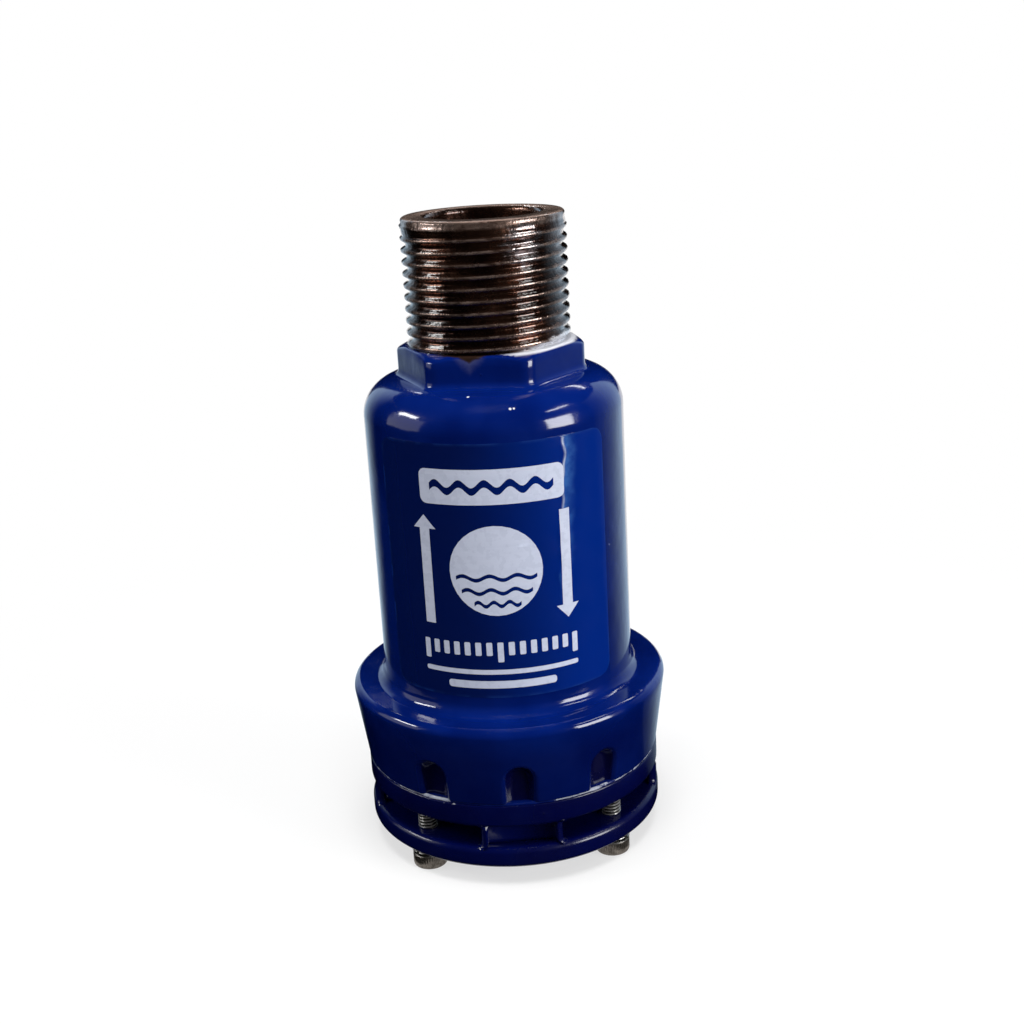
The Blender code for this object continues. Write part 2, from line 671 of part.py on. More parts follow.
def make_baffle():
    profile = [
        (BUSH_HOLE_RADIUS, Z_BUSH_TOP),
        (BOSS_RADIUS, Z_BUSH_TOP),
        (BOSS_RADIUS, Z_BAFFLE_TOP),
        (BAFFLE_RADIUS, Z_BAFFLE_TOP),
        (BAFFLE_RADIUS, Z_BAFFLE),
        (BOSS_RADIUS, Z_BAFFLE),
        (BOSS_RADIUS, Z_BOSS),
        (BUSH_HOLE_RADIUS, Z_BOSS),
    ]
    baffle = turned("inlet_baffle", profile, parts, brass, INNER_STEPS)
    places = screw_places(BAFFLE_HOLES, BAFFLE_HOLE_CIRCLE, 0)
    low = Z_BAFFLE - CUT_PAST
    holes = rods("baffle_holes", BAFFLE_HOLE_RADIUS, places, low, Z_BAFFLE_TOP + CUT_PAST)
    cut(baffle, cutter("baffle_holes", holes))
    profile = [
        (BUSH_BORE, Z_BUSH_TOP),
        (BUSH_RADIUS, Z_BUSH_TOP),
        (BUSH_RADIUS, Z_BUSH_FLANGE),
        (BOSS_RADIUS, Z_BUSH_FLANGE),
        (BOSS_RADIUS, Z_BUSH),
        (BUSH_BORE, Z_BUSH),
    ]
    turned("guide_bush", profile, parts, nylon, SMALL_STEPS)


def snap_ring_outline():
    """An open ring that springs outwards, with an inward ear at each end."""
    outer = CHAMBER_RADIUS + SNAP_RING_GRIP
    inner = outer - SNAP_RING_WIDTH - SNAP_RING_GRIP
    ear = inner - SNAP_EAR_LENGTH
    start = SNAP_RING_GAP / 2
    end = 2 * math.pi - start
    outline = sweep(outer, start, end, INNER_STEPS)
    outline += sweep(ear, end, end - SNAP_EAR_ANGLE, 2)
    outline += sweep(inner, end - SNAP_EAR_ANGLE, start + SNAP_EAR_ANGLE, INNER_STEPS)
    outline += sweep(ear, start + SNAP_EAR_ANGLE, start, 2)
    loops = [outline]
    for angle in (start + SNAP_EAR_ANGLE / 2, end - SNAP_EAR_ANGLE / 2):
        centre = on_circle((inner + ear) / 2, angle)
        loops.append(circle(SNAP_HOLE_RADIUS, TINY_STEPS, centre.xy))
    return loops


def make_snap_ring():
    high = Z_SNAP_RING + SNAP_RING_THICKNESS
    mesh = slab("retaining_ring", snap_ring_outline(), Z_SNAP_RING, high)
    place_object("retaining_ring", mesh, parts, steel)


def make_float():
    """The float and what is clamped to it; the empty on the axis carries them."""
    carrier = bpy.data.objects.new("float_carrier", None)
    carrier.location = (0, 0, Z_SEALING)
    parts.objects.link(carrier)
    tip = math.degrees(math.acos(STEM_WASHER_RADIUS / FLOAT_NOSE_RADIUS))
    side = math.degrees(math.acos(FLOAT_RADIUS / FLOAT_NOSE_RADIUS))
    inset = FLOAT_RADIUS - FLOAT_EDGE
    profile = [(STEM_HOLE_RADIUS, Z_FLOAT_TOP)]
    profile += arc(inset, Z_FLOAT_TOP - FLOAT_EDGE, FLOAT_EDGE, 90, 0, EDGE_STEPS)
    profile += arc(0, Z_NOSE_CENTRE, FLOAT_NOSE_RADIUS, -side, -tip, SHOULDER_STEPS)
    profile.append((STEM_HOLE_RADIUS, Z_TIP))
    float_body = turned("float", profile, parts, nylon, INNER_STEPS, carrier)
    profile = [
        (0, Z_STEM_TOP),
        (STEM_RADIUS - STEM_CHAMFER, Z_STEM_TOP),
        (STEM_RADIUS, Z_STEM_TOP - STEM_CHAMFER),
        (STEM_RADIUS, Z_COLLAR_TOP),
        (STEM_COLLAR_RADIUS, Z_COLLAR_TOP),
        (STEM_COLLAR_RADIUS, Z_COLLAR),
        (STEM_RADIUS, Z_COLLAR),
        (STEM_RADIUS, Z_STEM_FOOT + STEM_CHAMFER),
        (STEM_RADIUS - STEM_CHAMFER, Z_STEM_FOOT),
        (0, Z_STEM_FOOT),
    ]
    stem = turned("float_stem", profile, parts, brass, SMALL_STEPS, carrier)
    high = Z_STEM_WASHER + STEM_WASHER_THICKNESS
    profile = ring_profile(STEM_HOLE_RADIUS, STEM_WASHER_RADIUS, Z_STEM_WASHER, high)
    washer = turned("stem_washer", profile, parts, brass, SMALL_STEPS, carrier)
    loops = [hexagon(NUT_ACROSS_FLATS), circle(STEM_HOLE_RADIUS, HOLE_STEPS)]
    mesh = slab("stem_nut", loops, Z_NUT, Z_NUT + NUT_HEIGHT)
    nut = place_object("stem_nut", mesh, parts, brass, carrier)
    for piece in (float_body, stem, washer, nut):
        piece.matrix_parent_inverse = Matrix.Translation((0, 0, -Z_SEALING))


clear_scene()
parts = new_collection("air_release_valve")
cutters = new_collection("cutters", hidden=True)

enamel = finish("blue enamel", (0.003, 0.02, 0.14), 0.0, 0.18)
steel = finish("zinc plated steel", (0.42, 0.40, 0.38), 1.0, 0.35)
brass = finish("brass", (0.60, 0.44, 0.20), 1.0, 0.30)
rubber = finish("black rubber", (0.015, 0.015, 0.015), 0.0, 0.70)
fibre = finish("grey gasket fibre", (0.30, 0.32, 0.40), 0.0, 0.80)
nylon = finish("white plastic", (0.72, 0.71, 0.66), 0.0, 0.45)

make_body()
make_cover()
make_seals()
make_retainer()
make_cover_screws()
make_baffle()
make_snap_ring()
make_float()
settle(parts)
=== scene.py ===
"""Looks of the air release valve: castings, threads, fasteners, label, finishes and stage.

Lengths are in metres. The valve stands on its screw heads, with the inlet up.
Angles run round the axis from +X towards +Y; the photograph looks along +Y.
"""

import math
from functools import cached_property

import bmesh
import bpy
import numpy as np
from mathutils import Matrix, Vector


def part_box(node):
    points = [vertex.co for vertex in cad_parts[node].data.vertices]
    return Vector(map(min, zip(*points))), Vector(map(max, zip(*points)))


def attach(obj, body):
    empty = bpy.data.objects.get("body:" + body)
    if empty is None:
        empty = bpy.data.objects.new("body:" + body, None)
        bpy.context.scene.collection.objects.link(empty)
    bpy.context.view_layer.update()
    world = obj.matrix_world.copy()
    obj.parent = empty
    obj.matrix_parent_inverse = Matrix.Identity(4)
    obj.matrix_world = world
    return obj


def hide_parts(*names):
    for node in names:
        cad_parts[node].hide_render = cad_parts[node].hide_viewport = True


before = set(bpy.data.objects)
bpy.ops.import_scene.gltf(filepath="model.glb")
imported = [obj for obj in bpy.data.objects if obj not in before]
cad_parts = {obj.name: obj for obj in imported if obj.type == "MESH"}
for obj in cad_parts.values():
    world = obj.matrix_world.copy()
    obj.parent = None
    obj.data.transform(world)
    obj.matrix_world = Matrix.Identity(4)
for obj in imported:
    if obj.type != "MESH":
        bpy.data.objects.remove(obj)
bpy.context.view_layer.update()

MM = 0.001
PI = math.pi

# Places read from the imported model
body_low, body_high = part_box("body")
cover_low, cover_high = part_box("cover")
gasket_low, gasket_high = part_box("cover_gasket")
screw_low, screw_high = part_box("cover_screw_1")
washer_low, washer_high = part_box("lock_washer_1")

Z_RIM = body_high.z
Z_BODY_FACE = body_low.z
FLANGE_TOP_RADIUS = body_high.x
CAP_RADIUS = cover_high.x
Z_CAP = cover_low.z
Z_SPIGOT = cover_high.z
Z_GASKET = gasket_low.z
Z_GASKET_TOP = gasket_high.z
GASKET_RADIUS = gasket_high.x
Z_SCREW_TIP = screw_high.z
HEAD_RADIUS = (screw_high.y - screw_low.y) / 2
SCREW_CIRCLE = math.hypot((screw_low.x + screw_high.x) / 2, (screw_low.y + screw_high.y) / 2)
Z_WASHER = washer_low.z
WASHER_THICKNESS = washer_high.z - washer_low.z

# Body casting
STUB_HEIGHT = 25.3 * MM
HEX_HEIGHT = 6.4 * MM
BARREL_RADIUS = 26.5 * MM
SHOULDER_RADIUS = 7.3 * MM
SHOULDER_TOP_RADIUS = BARREL_RADIUS - SHOULDER_RADIUS
BARREL_HEIGHT = 57.2 * MM
BARREL_FOOT_FILLET = 2.5 * MM
FLANGE_EDGE = 1.8 * MM
FLANGE_FOOT_RADIUS = 31.4 * MM
HEX_APOTHEM = 17.0 * MM
HEX_CORNER = 3.5 * MM
HEX_TURN = math.radians(-99.65)
HEX_EDGE_SLOPE = math.radians(25)
HEX_SOFT_EDGE = 0.45 * MM
HEX_BEVEL = 0.13 * MM
HEX_ROOT_FILLET = 1.5 * MM
CHAMBER_RADIUS = 22.5 * MM
CHAMBER_CHAMFER = 0.7 * MM
BAFFLE_SEAT_DROP = 9.1 * MM
BAFFLE_SEAT_RADIUS = 20.0 * MM
THROAT_DROP = 3.5 * MM
THROAT_EDGE = 0.3 * MM
GROOVE_DEPTH = 1.2 * MM
GROOVE_LOW = 14.2 * MM
GROOVE_HIGH = 12.4 * MM

Z_STUB = Z_RIM - STUB_HEIGHT
Z_HEX = Z_STUB - HEX_HEIGHT
Z_SHOULDER = Z_HEX - SHOULDER_RADIUS
Z_FLANGE = Z_SHOULDER - BARREL_HEIGHT
Z_FLANGE_SIDE = Z_FLANGE - FLANGE_EDGE
Z_THROAT = Z_HEX - THROAT_DROP
Z_BAFFLE_SEAT = Z_HEX - BAFFLE_SEAT_DROP

# Notches in the flange's foot
NOTCH_GROUPS = 2
NOTCHES_PER_GROUP = 3
NOTCH_SPACING = math.radians(33)
NOTCH_HALF = 3.3 * MM
NOTCH_HEIGHT = 8.4 * MM
NOTCH_FLOOR = 29.9 * MM
NOTCH_LIP = 0.4 * MM
NOTCH_SLOPE = 1.9 * MM
Z_NOTCH_TOP = Z_BODY_FACE + NOTCH_HEIGHT

# Inlet stub and its thread
BORE_RADIUS = 11.5 * MM
BORE_CHAMFER = 0.5 * MM
COLLAR_RADIUS = 16.22 * MM
COLLAR_HEIGHT = 1.5 * MM
RIM_ROUND = 0.7 * MM
THREAD_ROOT = 15.42 * MM
THREAD_DEPTH = 1.2 * MM
THREAD_PITCH = 25.4 / 11 * MM
THREAD_RUN_IN = 0.9 * MM
THREAD_RUN_OUT = 1.6 * MM
THREAD_SINK = 1.2 * MM
THREAD_GAP = 0.55 * MM
SHALLOW_START = 0.9 * MM
SHALLOW_LENGTH = 4.2 * MM
STUB_HOLE_RADIUS = THREAD_ROOT - 1.1 * MM
STUB_LEDGE = 0.5 * MM

Z_COLLAR = Z_RIM - COLLAR_HEIGHT

# Cover casting
CAP_THICKNESS = 4.5 * MM
CAP_EDGE = 1.2 * MM
WINDOW_HEIGHT = 4.7 * MM
WINDOW_ANGLE = math.radians(58)
LUG_INNER_RADIUS = 22.0 * MM
LUG_CORNER = 1.6 * MM
LUG_FILLET = 1.0 * MM
LUG_SINK = 0.4 * MM
PLATE_EDGE = 0.9 * MM
ORIFICE_RADIUS = 10.0 * MM
RECESS_RADIUS = 17.3 * MM
SPIGOT_RADIUS = 22.2 * MM
SPIGOT_CHAMFER = 0.5 * MM
SEAT_THICKNESS = 3.0 * MM
SEAM_OVERLAP = 0.2 * MM
SEAM_ROUND = 0.35 * MM
GASKET_EDGE = 0.2 * MM
GASKET_INSET = 0.1 * MM
GASKET_WAVER = 0.035 * MM

Z_WINDOW = Z_CAP + CAP_THICKNESS
Z_PLATE = Z_WINDOW + WINDOW_HEIGHT

# Cover screws and lock washers
SCREW_COUNT = 4
FIRST_SCREW = -PI / 4
RETAINER_SCREWS = 3
HEAD_HEIGHT = 2.9 * MM
HEAD_EDGE = 0.45 * MM
HEAD_BACK_EDGE = 0.15 * MM
KNURLS = 44
KNURL_DEPTH = 0.13 * MM
KNURL_MARGIN = 0.35 * MM
KNURL_PROUD = 0.05 * MM
SOCKET_FLATS = 3.0 * MM
SOCKET_CORNER = 0.1 * MM
SOCKET_DEPTH = 1.6 * MM
SOCKET_LIP = 0.15 * MM
SOCKET_CONE = 0.3 * MM
SCREW_RADIUS = 2.0 * MM
SCREW_PITCH = 0.7 * MM
SCREW_THREAD_DEPTH = 0.42 * MM
SCREW_ROOT = SCREW_RADIUS - SCREW_THREAD_DEPTH
SCREW_NECK = 1.0 * MM
SCREW_TIP_CHAMFER = 0.6 * MM
SHANK_SINK = 0.3 * MM
SHANK_TIP_CHAMFER = 0.3 * MM
WASHER_BORE = 2.3 * MM
WASHER_RADIUS = 3.7 * MM
WASHER_EDGE = 0.12 * MM
WASHER_SPLIT = 0.8 * MM
WASHER_LIFT = 0.1 * MM

# Label film on the barrel, and the white print on it
LABEL_MIDDLE = math.radians(-90 - 4.4)
LABEL_HALF_WIDTH = 25.0 * MM
LABEL_LOW = 39.8 * MM
LABEL_HIGH = 91.8 * MM
LABEL_CORNER = 3.0 * MM
LABEL_LIFT = 0.06 * MM
LABEL_THICKNESS = 0.05 * MM
LABEL_EDGE = 0.55 * MM
PRINT_LIFT = 0.015 * MM
CREASE_PLACE = 14.9 * MM
CREASE_LEAN = 0.08
CREASE_WIDTH = 0.5 * MM
CREASE_HEIGHT = 0.16 * MM
CREASE_LOW = 60.0 * MM
CREASE_HIGH = 91.0 * MM
BUBBLES = 9
BUBBLE_HEIGHT = 0.08 * MM
LOOSE_WIDTH = 3.4 * MM
FOLD_WIDTH = 0.2 * MM

# Facets
BODY_COLUMNS = 640
STUB_COLUMNS = 240
COVER_COLUMNS = 288
THREAD_ROWS = 13
SCREW_ROWS = 6
SCREW_COLUMNS = 28
FILM_COLUMNS = 220
FILM_ROWS = 156


def arc(centre_r, centre_z, radius, start, end, count):
    """Section points on an arc, its angles in degrees; the centre may be an array."""
    turns = [math.radians(start + (end - start) * i / count) for i in range(count + 1)]
    return [(centre_r + radius * math.cos(a), centre_z + radius * math.sin(a)) for a in turns]


def straight(start, end, count):
    """Section points from one point to another, without the first."""
    steps = [(i + 1) / count for i in range(count)]
    return [tuple(a + (b - a) * t for a, b in zip(start, end)) for t in steps]


def smooth_step(value, low, high):
    """0 at low and 1 at high, with a soft start and end; low may be above high."""
    share = np.clip((value - low) / (high - low), 0, 1)
    return share * share * (3 - 2 * share)


def around(count):
    """Evenly spaced angles for the columns of a turned skin."""
    return np.linspace(0, 2 * PI, count, endpoint=False)


def new_mesh(name, points, faces):
    """A mesh from points, in rows or one list, and faces."""
    mesh = bpy.data.meshes.new(name)
    mesh.from_pydata(np.reshape(points, (-1, 3)).tolist(), [], faces)
    return mesh


def grid_faces(rows, columns, loop=False, whole=False):
    """Quads on a grid of points; loop joins its last row to its first, whole its columns."""
    down = np.arange(rows if loop else rows - 1)
    across = np.arange(columns if whole else columns - 1)
    i, j = np.meshgrid(down, across, indexing="ij")
    below, beside = (i + 1) % rows, (j + 1) % columns
    corners = np.stack((i, i, below, below), axis=-1) * columns
    faces = corners + np.stack((j, beside, beside, j), axis=-1)
    return faces.reshape(-1, 4).tolist()


def skin(name, rows, angles, loop=False, whole=True):
    """A turned mesh. A row is (radius, height), and either may change with the angle."""
    radius = np.array([np.broadcast_to(r, angles.shape) for r, _ in rows])
    height = np.array([np.broadcast_to(z, angles.shape) for _, z in rows])
    points = np.stack((radius * np.cos(angles), radius * np.sin(angles), height), axis=-1)
    return new_mesh(name, points, grid_faces(len(rows), len(angles), loop, whole))


def lofted(name, sections):
    """A closed solid through outlines that all have the same number of points."""
    size, last = len(sections[0]), len(sections[0]) * (len(sections) - 1)
    ends = [tuple(range(size)), tuple(range(last, last + size))]
    return clean(new_mesh(name, sections, grid_faces(len(sections), size, whole=True) + ends))


def clean(mesh):
    """Doubles merged and faces turned outwards, for a mesh of closed shells."""
    shape = bmesh.new()
    shape.from_mesh(mesh)
    bmesh.ops.remove_doubles(shape, verts=shape.verts, dist=1e-7)
    bmesh.ops.dissolve_degenerate(shape, edges=shape.edges, dist=1e-8)
    bmesh.ops.recalc_face_normals(shape, faces=shape.faces)
    shape.to_mesh(mesh)
    shape.free()
    mesh.shade_smooth()
    return mesh


def joined(name, meshes):
    """One mesh from several."""
    shape = bmesh.new()
    for mesh in meshes:
        shape.from_mesh(mesh)
    result = bpy.data.meshes.new(name)
    shape.to_mesh(result)
    shape.free()
    return clean(result)


def place(name, data):
    """A new object in the scene, at the origin."""
    piece = bpy.data.objects.new(name, data)
    bpy.context.scene.collection.objects.link(piece)
    return piece


def evaluated_mesh(piece):
    """A plain mesh of the piece, with its modifiers worked."""
    graph = bpy.context.evaluated_depsgraph_get()
    return bpy.data.meshes.new_from_object(piece.evaluated_get(graph))


def apply_modifiers(piece):
    """The piece keeps its shape as a plain mesh, with no modifier left."""
    mesh = evaluated_mesh(piece)
    piece.modifiers.clear()
    piece.data = mesh
    mesh.shade_smooth()


def thicken(piece, thickness, offset):
    """Gives a sheet its thickness: inwards at offset -1, to both sides at 0."""
    wall = piece.modifiers.new("thickness", "SOLIDIFY")
    wall.thickness = thickness
    wall.offset = offset
    apply_modifiers(piece)


def sharpen(piece, degrees=32):
    """Sharp shading at the edges that turn by more than the angle."""
    piece.data.set_sharp_from_angle(angle=math.radians(degrees))


class Tree:
    """A short way to lay out nodes: add gives the new node, the other calls give its output."""

    def __init__(self, nodes):
        self.kind = nodes.type
        self.nodes = nodes.nodes
        self.links = nodes.links

    @cached_property
    def place(self):
        """Where a point lies on its piece."""
        if self.kind == "GEOMETRY":
            return self.add("GeometryNodeInputPosition").outputs["Position"]
        return self.add("ShaderNodeTexCoord").outputs["Object"]

    @cached_property
    def xyz(self):
        return self.add("ShaderNodeSeparateXYZ", (self.place,)).outputs

    x = property(lambda self: self.xyz[0])
    y = property(lambda self: self.xyz[1])
    z = property(lambda self: self.xyz[2])

    @cached_property
    def radius(self):
        """How far a point lies from the axis."""
        return self.length(self.x, self.y)

    def set(self, socket, value):
        if isinstance(value, bpy.types.NodeSocket):
            self.links.new(value, socket)
        elif value is not None:
            socket.default_value = value

    def add(self, kind, values=(), named=None, **settings):
        node = self.nodes.new(kind)
        for key, value in settings.items():
            setattr(node, key, value)
        for socket, value in zip(node.inputs, values):
            self.set(socket, value)
        for key, value in (named or {}).items():
            self.set(node.inputs[key], value)
        return node

    def math(self, operation, a, b=None, c=None, clamp=False):
        node = self.add("ShaderNodeMath", (a, b, c), operation=operation, use_clamp=clamp)
        return node.outputs[0]

    def times(self, first, *others):
        """The product of sockets and numbers."""
        for other in others:
            first = self.math("MULTIPLY", first, other)
        return first

    def most(self, first, *others):
        """The greatest of sockets and numbers."""
        for other in others:
            first = self.math("MAXIMUM", first, other)
        return first

    def line(self, value, slope, start):
        """The value times the slope, plus the start."""
        return self.math("MULTIPLY_ADD", value, slope, start)

    def length(self, a, b):
        return self.math("SQRT", self.math("ADD", self.times(a, a), self.times(b, b)))

    def vector(self, operation, *values, output=0, **named):
        node = self.add("ShaderNodeVectorMath", values, named, operation=operation)
        return node.outputs[output]

    def distance(self, centre):
        """How far a point lies from a place on the piece."""
        return self.vector("DISTANCE", self.place, centre, output=1)

    def remap(self, value, low, high, start=0.0, end=1.0, soft=True):
        """Value from low to high mapped on start to end, clamped; low may be above high."""
        kind = "SMOOTHSTEP" if soft else "LINEAR"
        named = {"Value": value, "From Min": low, "From Max": high, "To Min": start, "To Max": end}
        return self.add("ShaderNodeMapRange", named=named, interpolation_type=kind).outputs[0]

    def noise(self, size, detail=3.0, rough=0.5, stretch=(1, 1, 1)):
        """Noise whose largest grains are about the size given, in metres."""
        scaled = self.vector("MULTIPLY", self.place, stretch)
        named = {"Vector": scaled, "Scale": 1 / size, "Detail": detail, "Roughness": rough}
        return self.add("ShaderNodeTexNoise", named=named).outputs[0]

    def mix(self, share, first, second):
        """A colour between two, which may be sockets or (r, g, b)."""
        node = self.add("ShaderNodeMix", data_type="RGBA")
        self.set(node.inputs[0], share)
        for socket, colour in ((node.inputs[6], first), (node.inputs[7], second)):
            self.set(socket, (*colour, 1) if isinstance(colour, tuple) else colour)
        return node.outputs[2]

    def bump(self, height, distance, under=None):
        """Bump whose height, 0 to 1, stands for the distance given, in metres."""
        named = {"Height": height, "Distance": distance, "Strength": 1.0, "Normal": under}
        return self.add("ShaderNodeBump", named=named).outputs[0]

    def dress(self, sockets):
        """The shader's sockets by name, each one linked or set."""
        for name, value in sockets.items():
            self.set(self.nodes["Principled BSDF"].inputs[name], value)


def new_material(name):
    """A material, and a Tree on its nodes."""
    material = bpy.data.materials.new(name)
    material.use_nodes = True
    return material, Tree(material.node_tree)


# Finishes of the castings
ENAMEL_DEEP = (0.0005, 0.0080, 0.106)
ENAMEL_BRIGHT = (0.0008, 0.0125, 0.150)
# Painted shade: the darker blue on the flange's foot, in its notches and over the cover
ENAMEL_PAINTED_SHADE = (0.0002, 0.0006, 0.036)
# Primer, whitened so that it also gives the painted highlight on the bare ring and the thread's foot
PRIMER_AND_SHEEN = (0.72, 0.73, 0.78)
THREAD_OIL = (0.022, 0.010, 0.006)
FLOW_SHIFT = 1.7 * MM

# Pale specks on the shoulder: place and radius
PALE_SPECKS = [
    ((-5.2 * MM, -20.9 * MM, 99.7 * MM), 0.32 * MM),
    ((2.5 * MM, -24.4 * MM, 97.7 * MM), 0.34 * MM),
    ((3.2 * MM, -24.3 * MM, 97.7 * MM), 0.28 * MM),
]


def enamel_material(name, coat, painted_shade, chips_and_sheen, stain=None):
    """Glossy blue enamel; the functions give where shade is painted into it, where it has chipped or is
    oily.
    """
    material, tree = new_material(name)
    cloud = tree.remap(tree.noise(18 * MM), 0.35, 0.65)
    # deep is the share of painted shade; it also roughens the enamel and raises its runs
    deep = painted_shade(tree)
    colour = tree.mix(deep, tree.mix(cloud, ENAMEL_DEEP, ENAMEL_BRIGHT), ENAMEL_PAINTED_SHADE)
    rough = tree.remap(tree.noise(9 * MM, 5), 0.35, 0.7, 0.10, 0.19)
    rough = tree.line(deep, 0.12, rough)
    # Chips show primer; on the body this also lays the painted highlight of the bare ring
    bare_and_sheen = chips_and_sheen(tree)
    colour = tree.mix(bare_and_sheen, colour, PRIMER_AND_SHEEN)
    rough = tree.most(rough, tree.times(bare_and_sheen, 0.6))
    kept = tree.math("SUBTRACT", 1.0, bare_and_sheen)
    normal = tree.bump(kept, 0.06 * MM, enamel_surface(tree, deep))
    if stain:
        oily = stain(tree)
        colour = tree.mix(oily, colour, THREAD_OIL)
        rough = tree.most(rough, tree.times(oily, 0.35))
    tree.dress({"Base Color": colour, "Roughness": rough, "Normal": normal})
    tree.dress({"Coat Weight": coat, "Coat Roughness": 0.06})
    return material


def enamel_surface(tree, deep):
    """Orange peel, sags, runs, most of them where shade is painted, and nibs."""
    normal = tree.bump(tree.noise(2.2 * MM, 1), 0.012 * MM)
    normal = tree.bump(tree.noise(8 * MM, 2), 0.15 * MM, normal)
    lumpy = tree.most(tree.remap(tree.noise(11 * MM, 1), 0.5, 0.62), deep)
    runs = tree.times(tree.noise(1.6 * MM, 3, 0.5, (1, 1, 0.6)), lumpy)
    normal = tree.bump(runs, 0.045 * MM, normal)
    nibs = tree.add("ShaderNodeTexVoronoi", named={"Vector": tree.place, "Scale": 1 / (7 * MM)})
    return tree.bump(tree.remap(nibs.outputs[0], 0.045, 0.01), 0.10 * MM, normal)


def body_painted_shade(tree):
    """Painted shade: darker down the flange's wall towards its foot and, most of all, in the bottoms of
    its notches.
    """
    slope = (FLANGE_TOP_RADIUS - FLANGE_FOOT_RADIUS) / (Z_FLANGE_SIDE - Z_BODY_FACE)
    wall = tree.line(tree.z, slope, FLANGE_FOOT_RADIUS - Z_BODY_FACE * slope)
    sunk = tree.remap(tree.math("SUBTRACT", wall, tree.radius), 0.15 * MM, 0.9 * MM)
    low = tree.remap(tree.z, Z_NOTCH_TOP + 1 * MM, Z_NOTCH_TOP - 1 * MM)
    outer = tree.remap(tree.radius, NOTCH_FLOOR - 2 * MM, NOTCH_FLOOR - 1 * MM)
    foot = tree.remap(tree.z, Z_FLANGE - 1 * MM, Z_FLANGE - 8 * MM, 0.0, 0.42)
    return tree.most(tree.times(sunk, low, outer), foot)


def cover_painted_shade(tree):
    """Painted shade over the whole cover, uneven."""
    return tree.remap(tree.noise(20 * MM), 0.35, 0.65, 0.75, 0.95)


def flakes(tree, size):
    """1 in scattered flakes."""
    return tree.remap(tree.noise(size, 4, 0.7), 0.66, 0.70)


def seam_chips(tree, none, full, inset, flaked):
    """Chips at the left of the seam, along a casting's edge; none and full are heights."""
    edge = FLANGE_FOOT_RADIUS - inset
    outer = tree.remap(tree.radius, edge, edge + 0.3 * MM)
    left = tree.remap(tree.x, -6 * MM, -14 * MM)
    return tree.times(tree.remap(tree.z, none, full), outer, left, flaked, 0.5)


def bare_ring_and_sheen(tree, top, ragged):
    """Primer on the hexagon's top round the thread's foot, with a painted highlight in it, wide and
    strongest on the right.
    """
    right = tree.remap(tree.x, -1 * MM, 7 * MM)
    near = tree.line(right, -2.4 * MM, tree.line(ragged, 6.0 * MM, tree.radius))
    ring = tree.times(top, tree.remap(near, 19.4 * MM, 18.9 * MM))
    # Painted highlight: the ring is strongest on the right
    return tree.times(ring, tree.remap(right, 0, 1, 0.15, 1.0))


def front_flat(tree):
    """The hexagon's front flat: distance from the oil's middle line, 1 on the flat, and depth."""
    cross = tree.line(tree.y, math.cos(HEX_TURN), FLOW_SHIFT)
    along = tree.line(tree.x, -math.sin(HEX_TURN), cross)
    ahead = tree.line(tree.x, math.cos(HEX_TURN), tree.times(tree.y, math.sin(HEX_TURN)))
    out = tree.remap(ahead, THREAD_ROOT - 1 * MM, HEX_APOTHEM - 0.2 * MM, soft=False)
    return tree.math("ABSOLUTE", along), out, tree.math("SUBTRACT", Z_STUB, tree.z)


def worn_flat(tree, ragged):
    """Thin enamel round the oil's point on the hexagon's front flat."""
    aside, out, drop = front_flat(tree)
    spread = tree.line(drop, 1 / (3.9 * MM), tree.times(aside, 1 / (3.6 * MM)))
    spread = tree.line(ragged, 0.6, spread)
    below = tree.remap(drop, 0.2 * MM, 0.6 * MM)
    return tree.times(tree.remap(spread, 1.45, 0.55), below, out, 0.07)


def body_chips_and_sheen(tree):
    """Bare ring at the thread's foot, partly a painted highlight; worn flat; chips on the rim and the
    seam; pale specks.
    """
    ragged = tree.noise(2.6 * MM, 5, 0.65)
    flaked = flakes(tree, 1.6 * MM)
    top = tree.remap(tree.z, Z_STUB - 0.5 * MM, Z_STUB - 0.1 * MM)
    rim = tree.times(tree.remap(tree.z, Z_STUB - 1.9 * MM, Z_STUB - 0.9 * MM), top, flaked)
    seam = seam_chips(tree, Z_BODY_FACE + 0.45 * MM, Z_BODY_FACE + 0.15 * MM, 0.8 * MM, flaked)
    chips_and_sheen = tree.most(bare_ring_and_sheen(tree, top, ragged), rim, worn_flat(tree, ragged), seam)
    for centre, size in PALE_SPECKS:
        chips_and_sheen = tree.most(chips_and_sheen, tree.remap(tree.distance(centre), size, 0.6 * size))
    return chips_and_sheen


def cover_chips(tree):
    """Chips along the cover's edge at the seam."""
    flaked = flakes(tree, 1.8 * MM)
    return seam_chips(tree, Z_GASKET - 0.5 * MM, Z_GASKET - 0.15 * MM, 0.7 * MM, flaked)


def body_stain(tree):
    """Thread oil on the hexagon's top, running out to a point over the front flat."""
    aside, out, drop = front_flat(tree)
    reach = tree.line(drop, 1 / (2.6 * MM), tree.line(aside, 1 / (5.5 * MM), out))
    reach = tree.line(tree.noise(1.5 * MM, 4), 0.5, reach)
    front = tree.remap(tree.y, -12 * MM, -14 * MM)
    return tree.times(tree.remap(reach, 1.85, 1.6), front)


# Finishes of the steel parts
STEEL_DARK = (0.06, 0.028, 0.02)
STEEL_BROWN = (0.20, 0.095, 0.062)
STEEL_CREST = (0.44, 0.32, 0.27)
# Silvery colour, place and size of a painted highlight on the stub's upper right
STEEL_SHEEN = (0.44, 0.42, 0.44)
SHEEN_PLACE = (7.19 * MM, -14.74 * MM, Z_RIM - 5 * MM)
SHEEN_RADIUS = 5.5 * MM
ZINC_LIGHT = (0.85, 0.85, 0.83)
ZINC_GREY = (0.50, 0.48, 0.45)
ZINC_DULL = (0.20, 0.175, 0.15)
ZINC_GRIMY = (0.08, 0.068, 0.058)
ZINC_GROOVE_SHADE = (0.05, 0.047, 0.042)


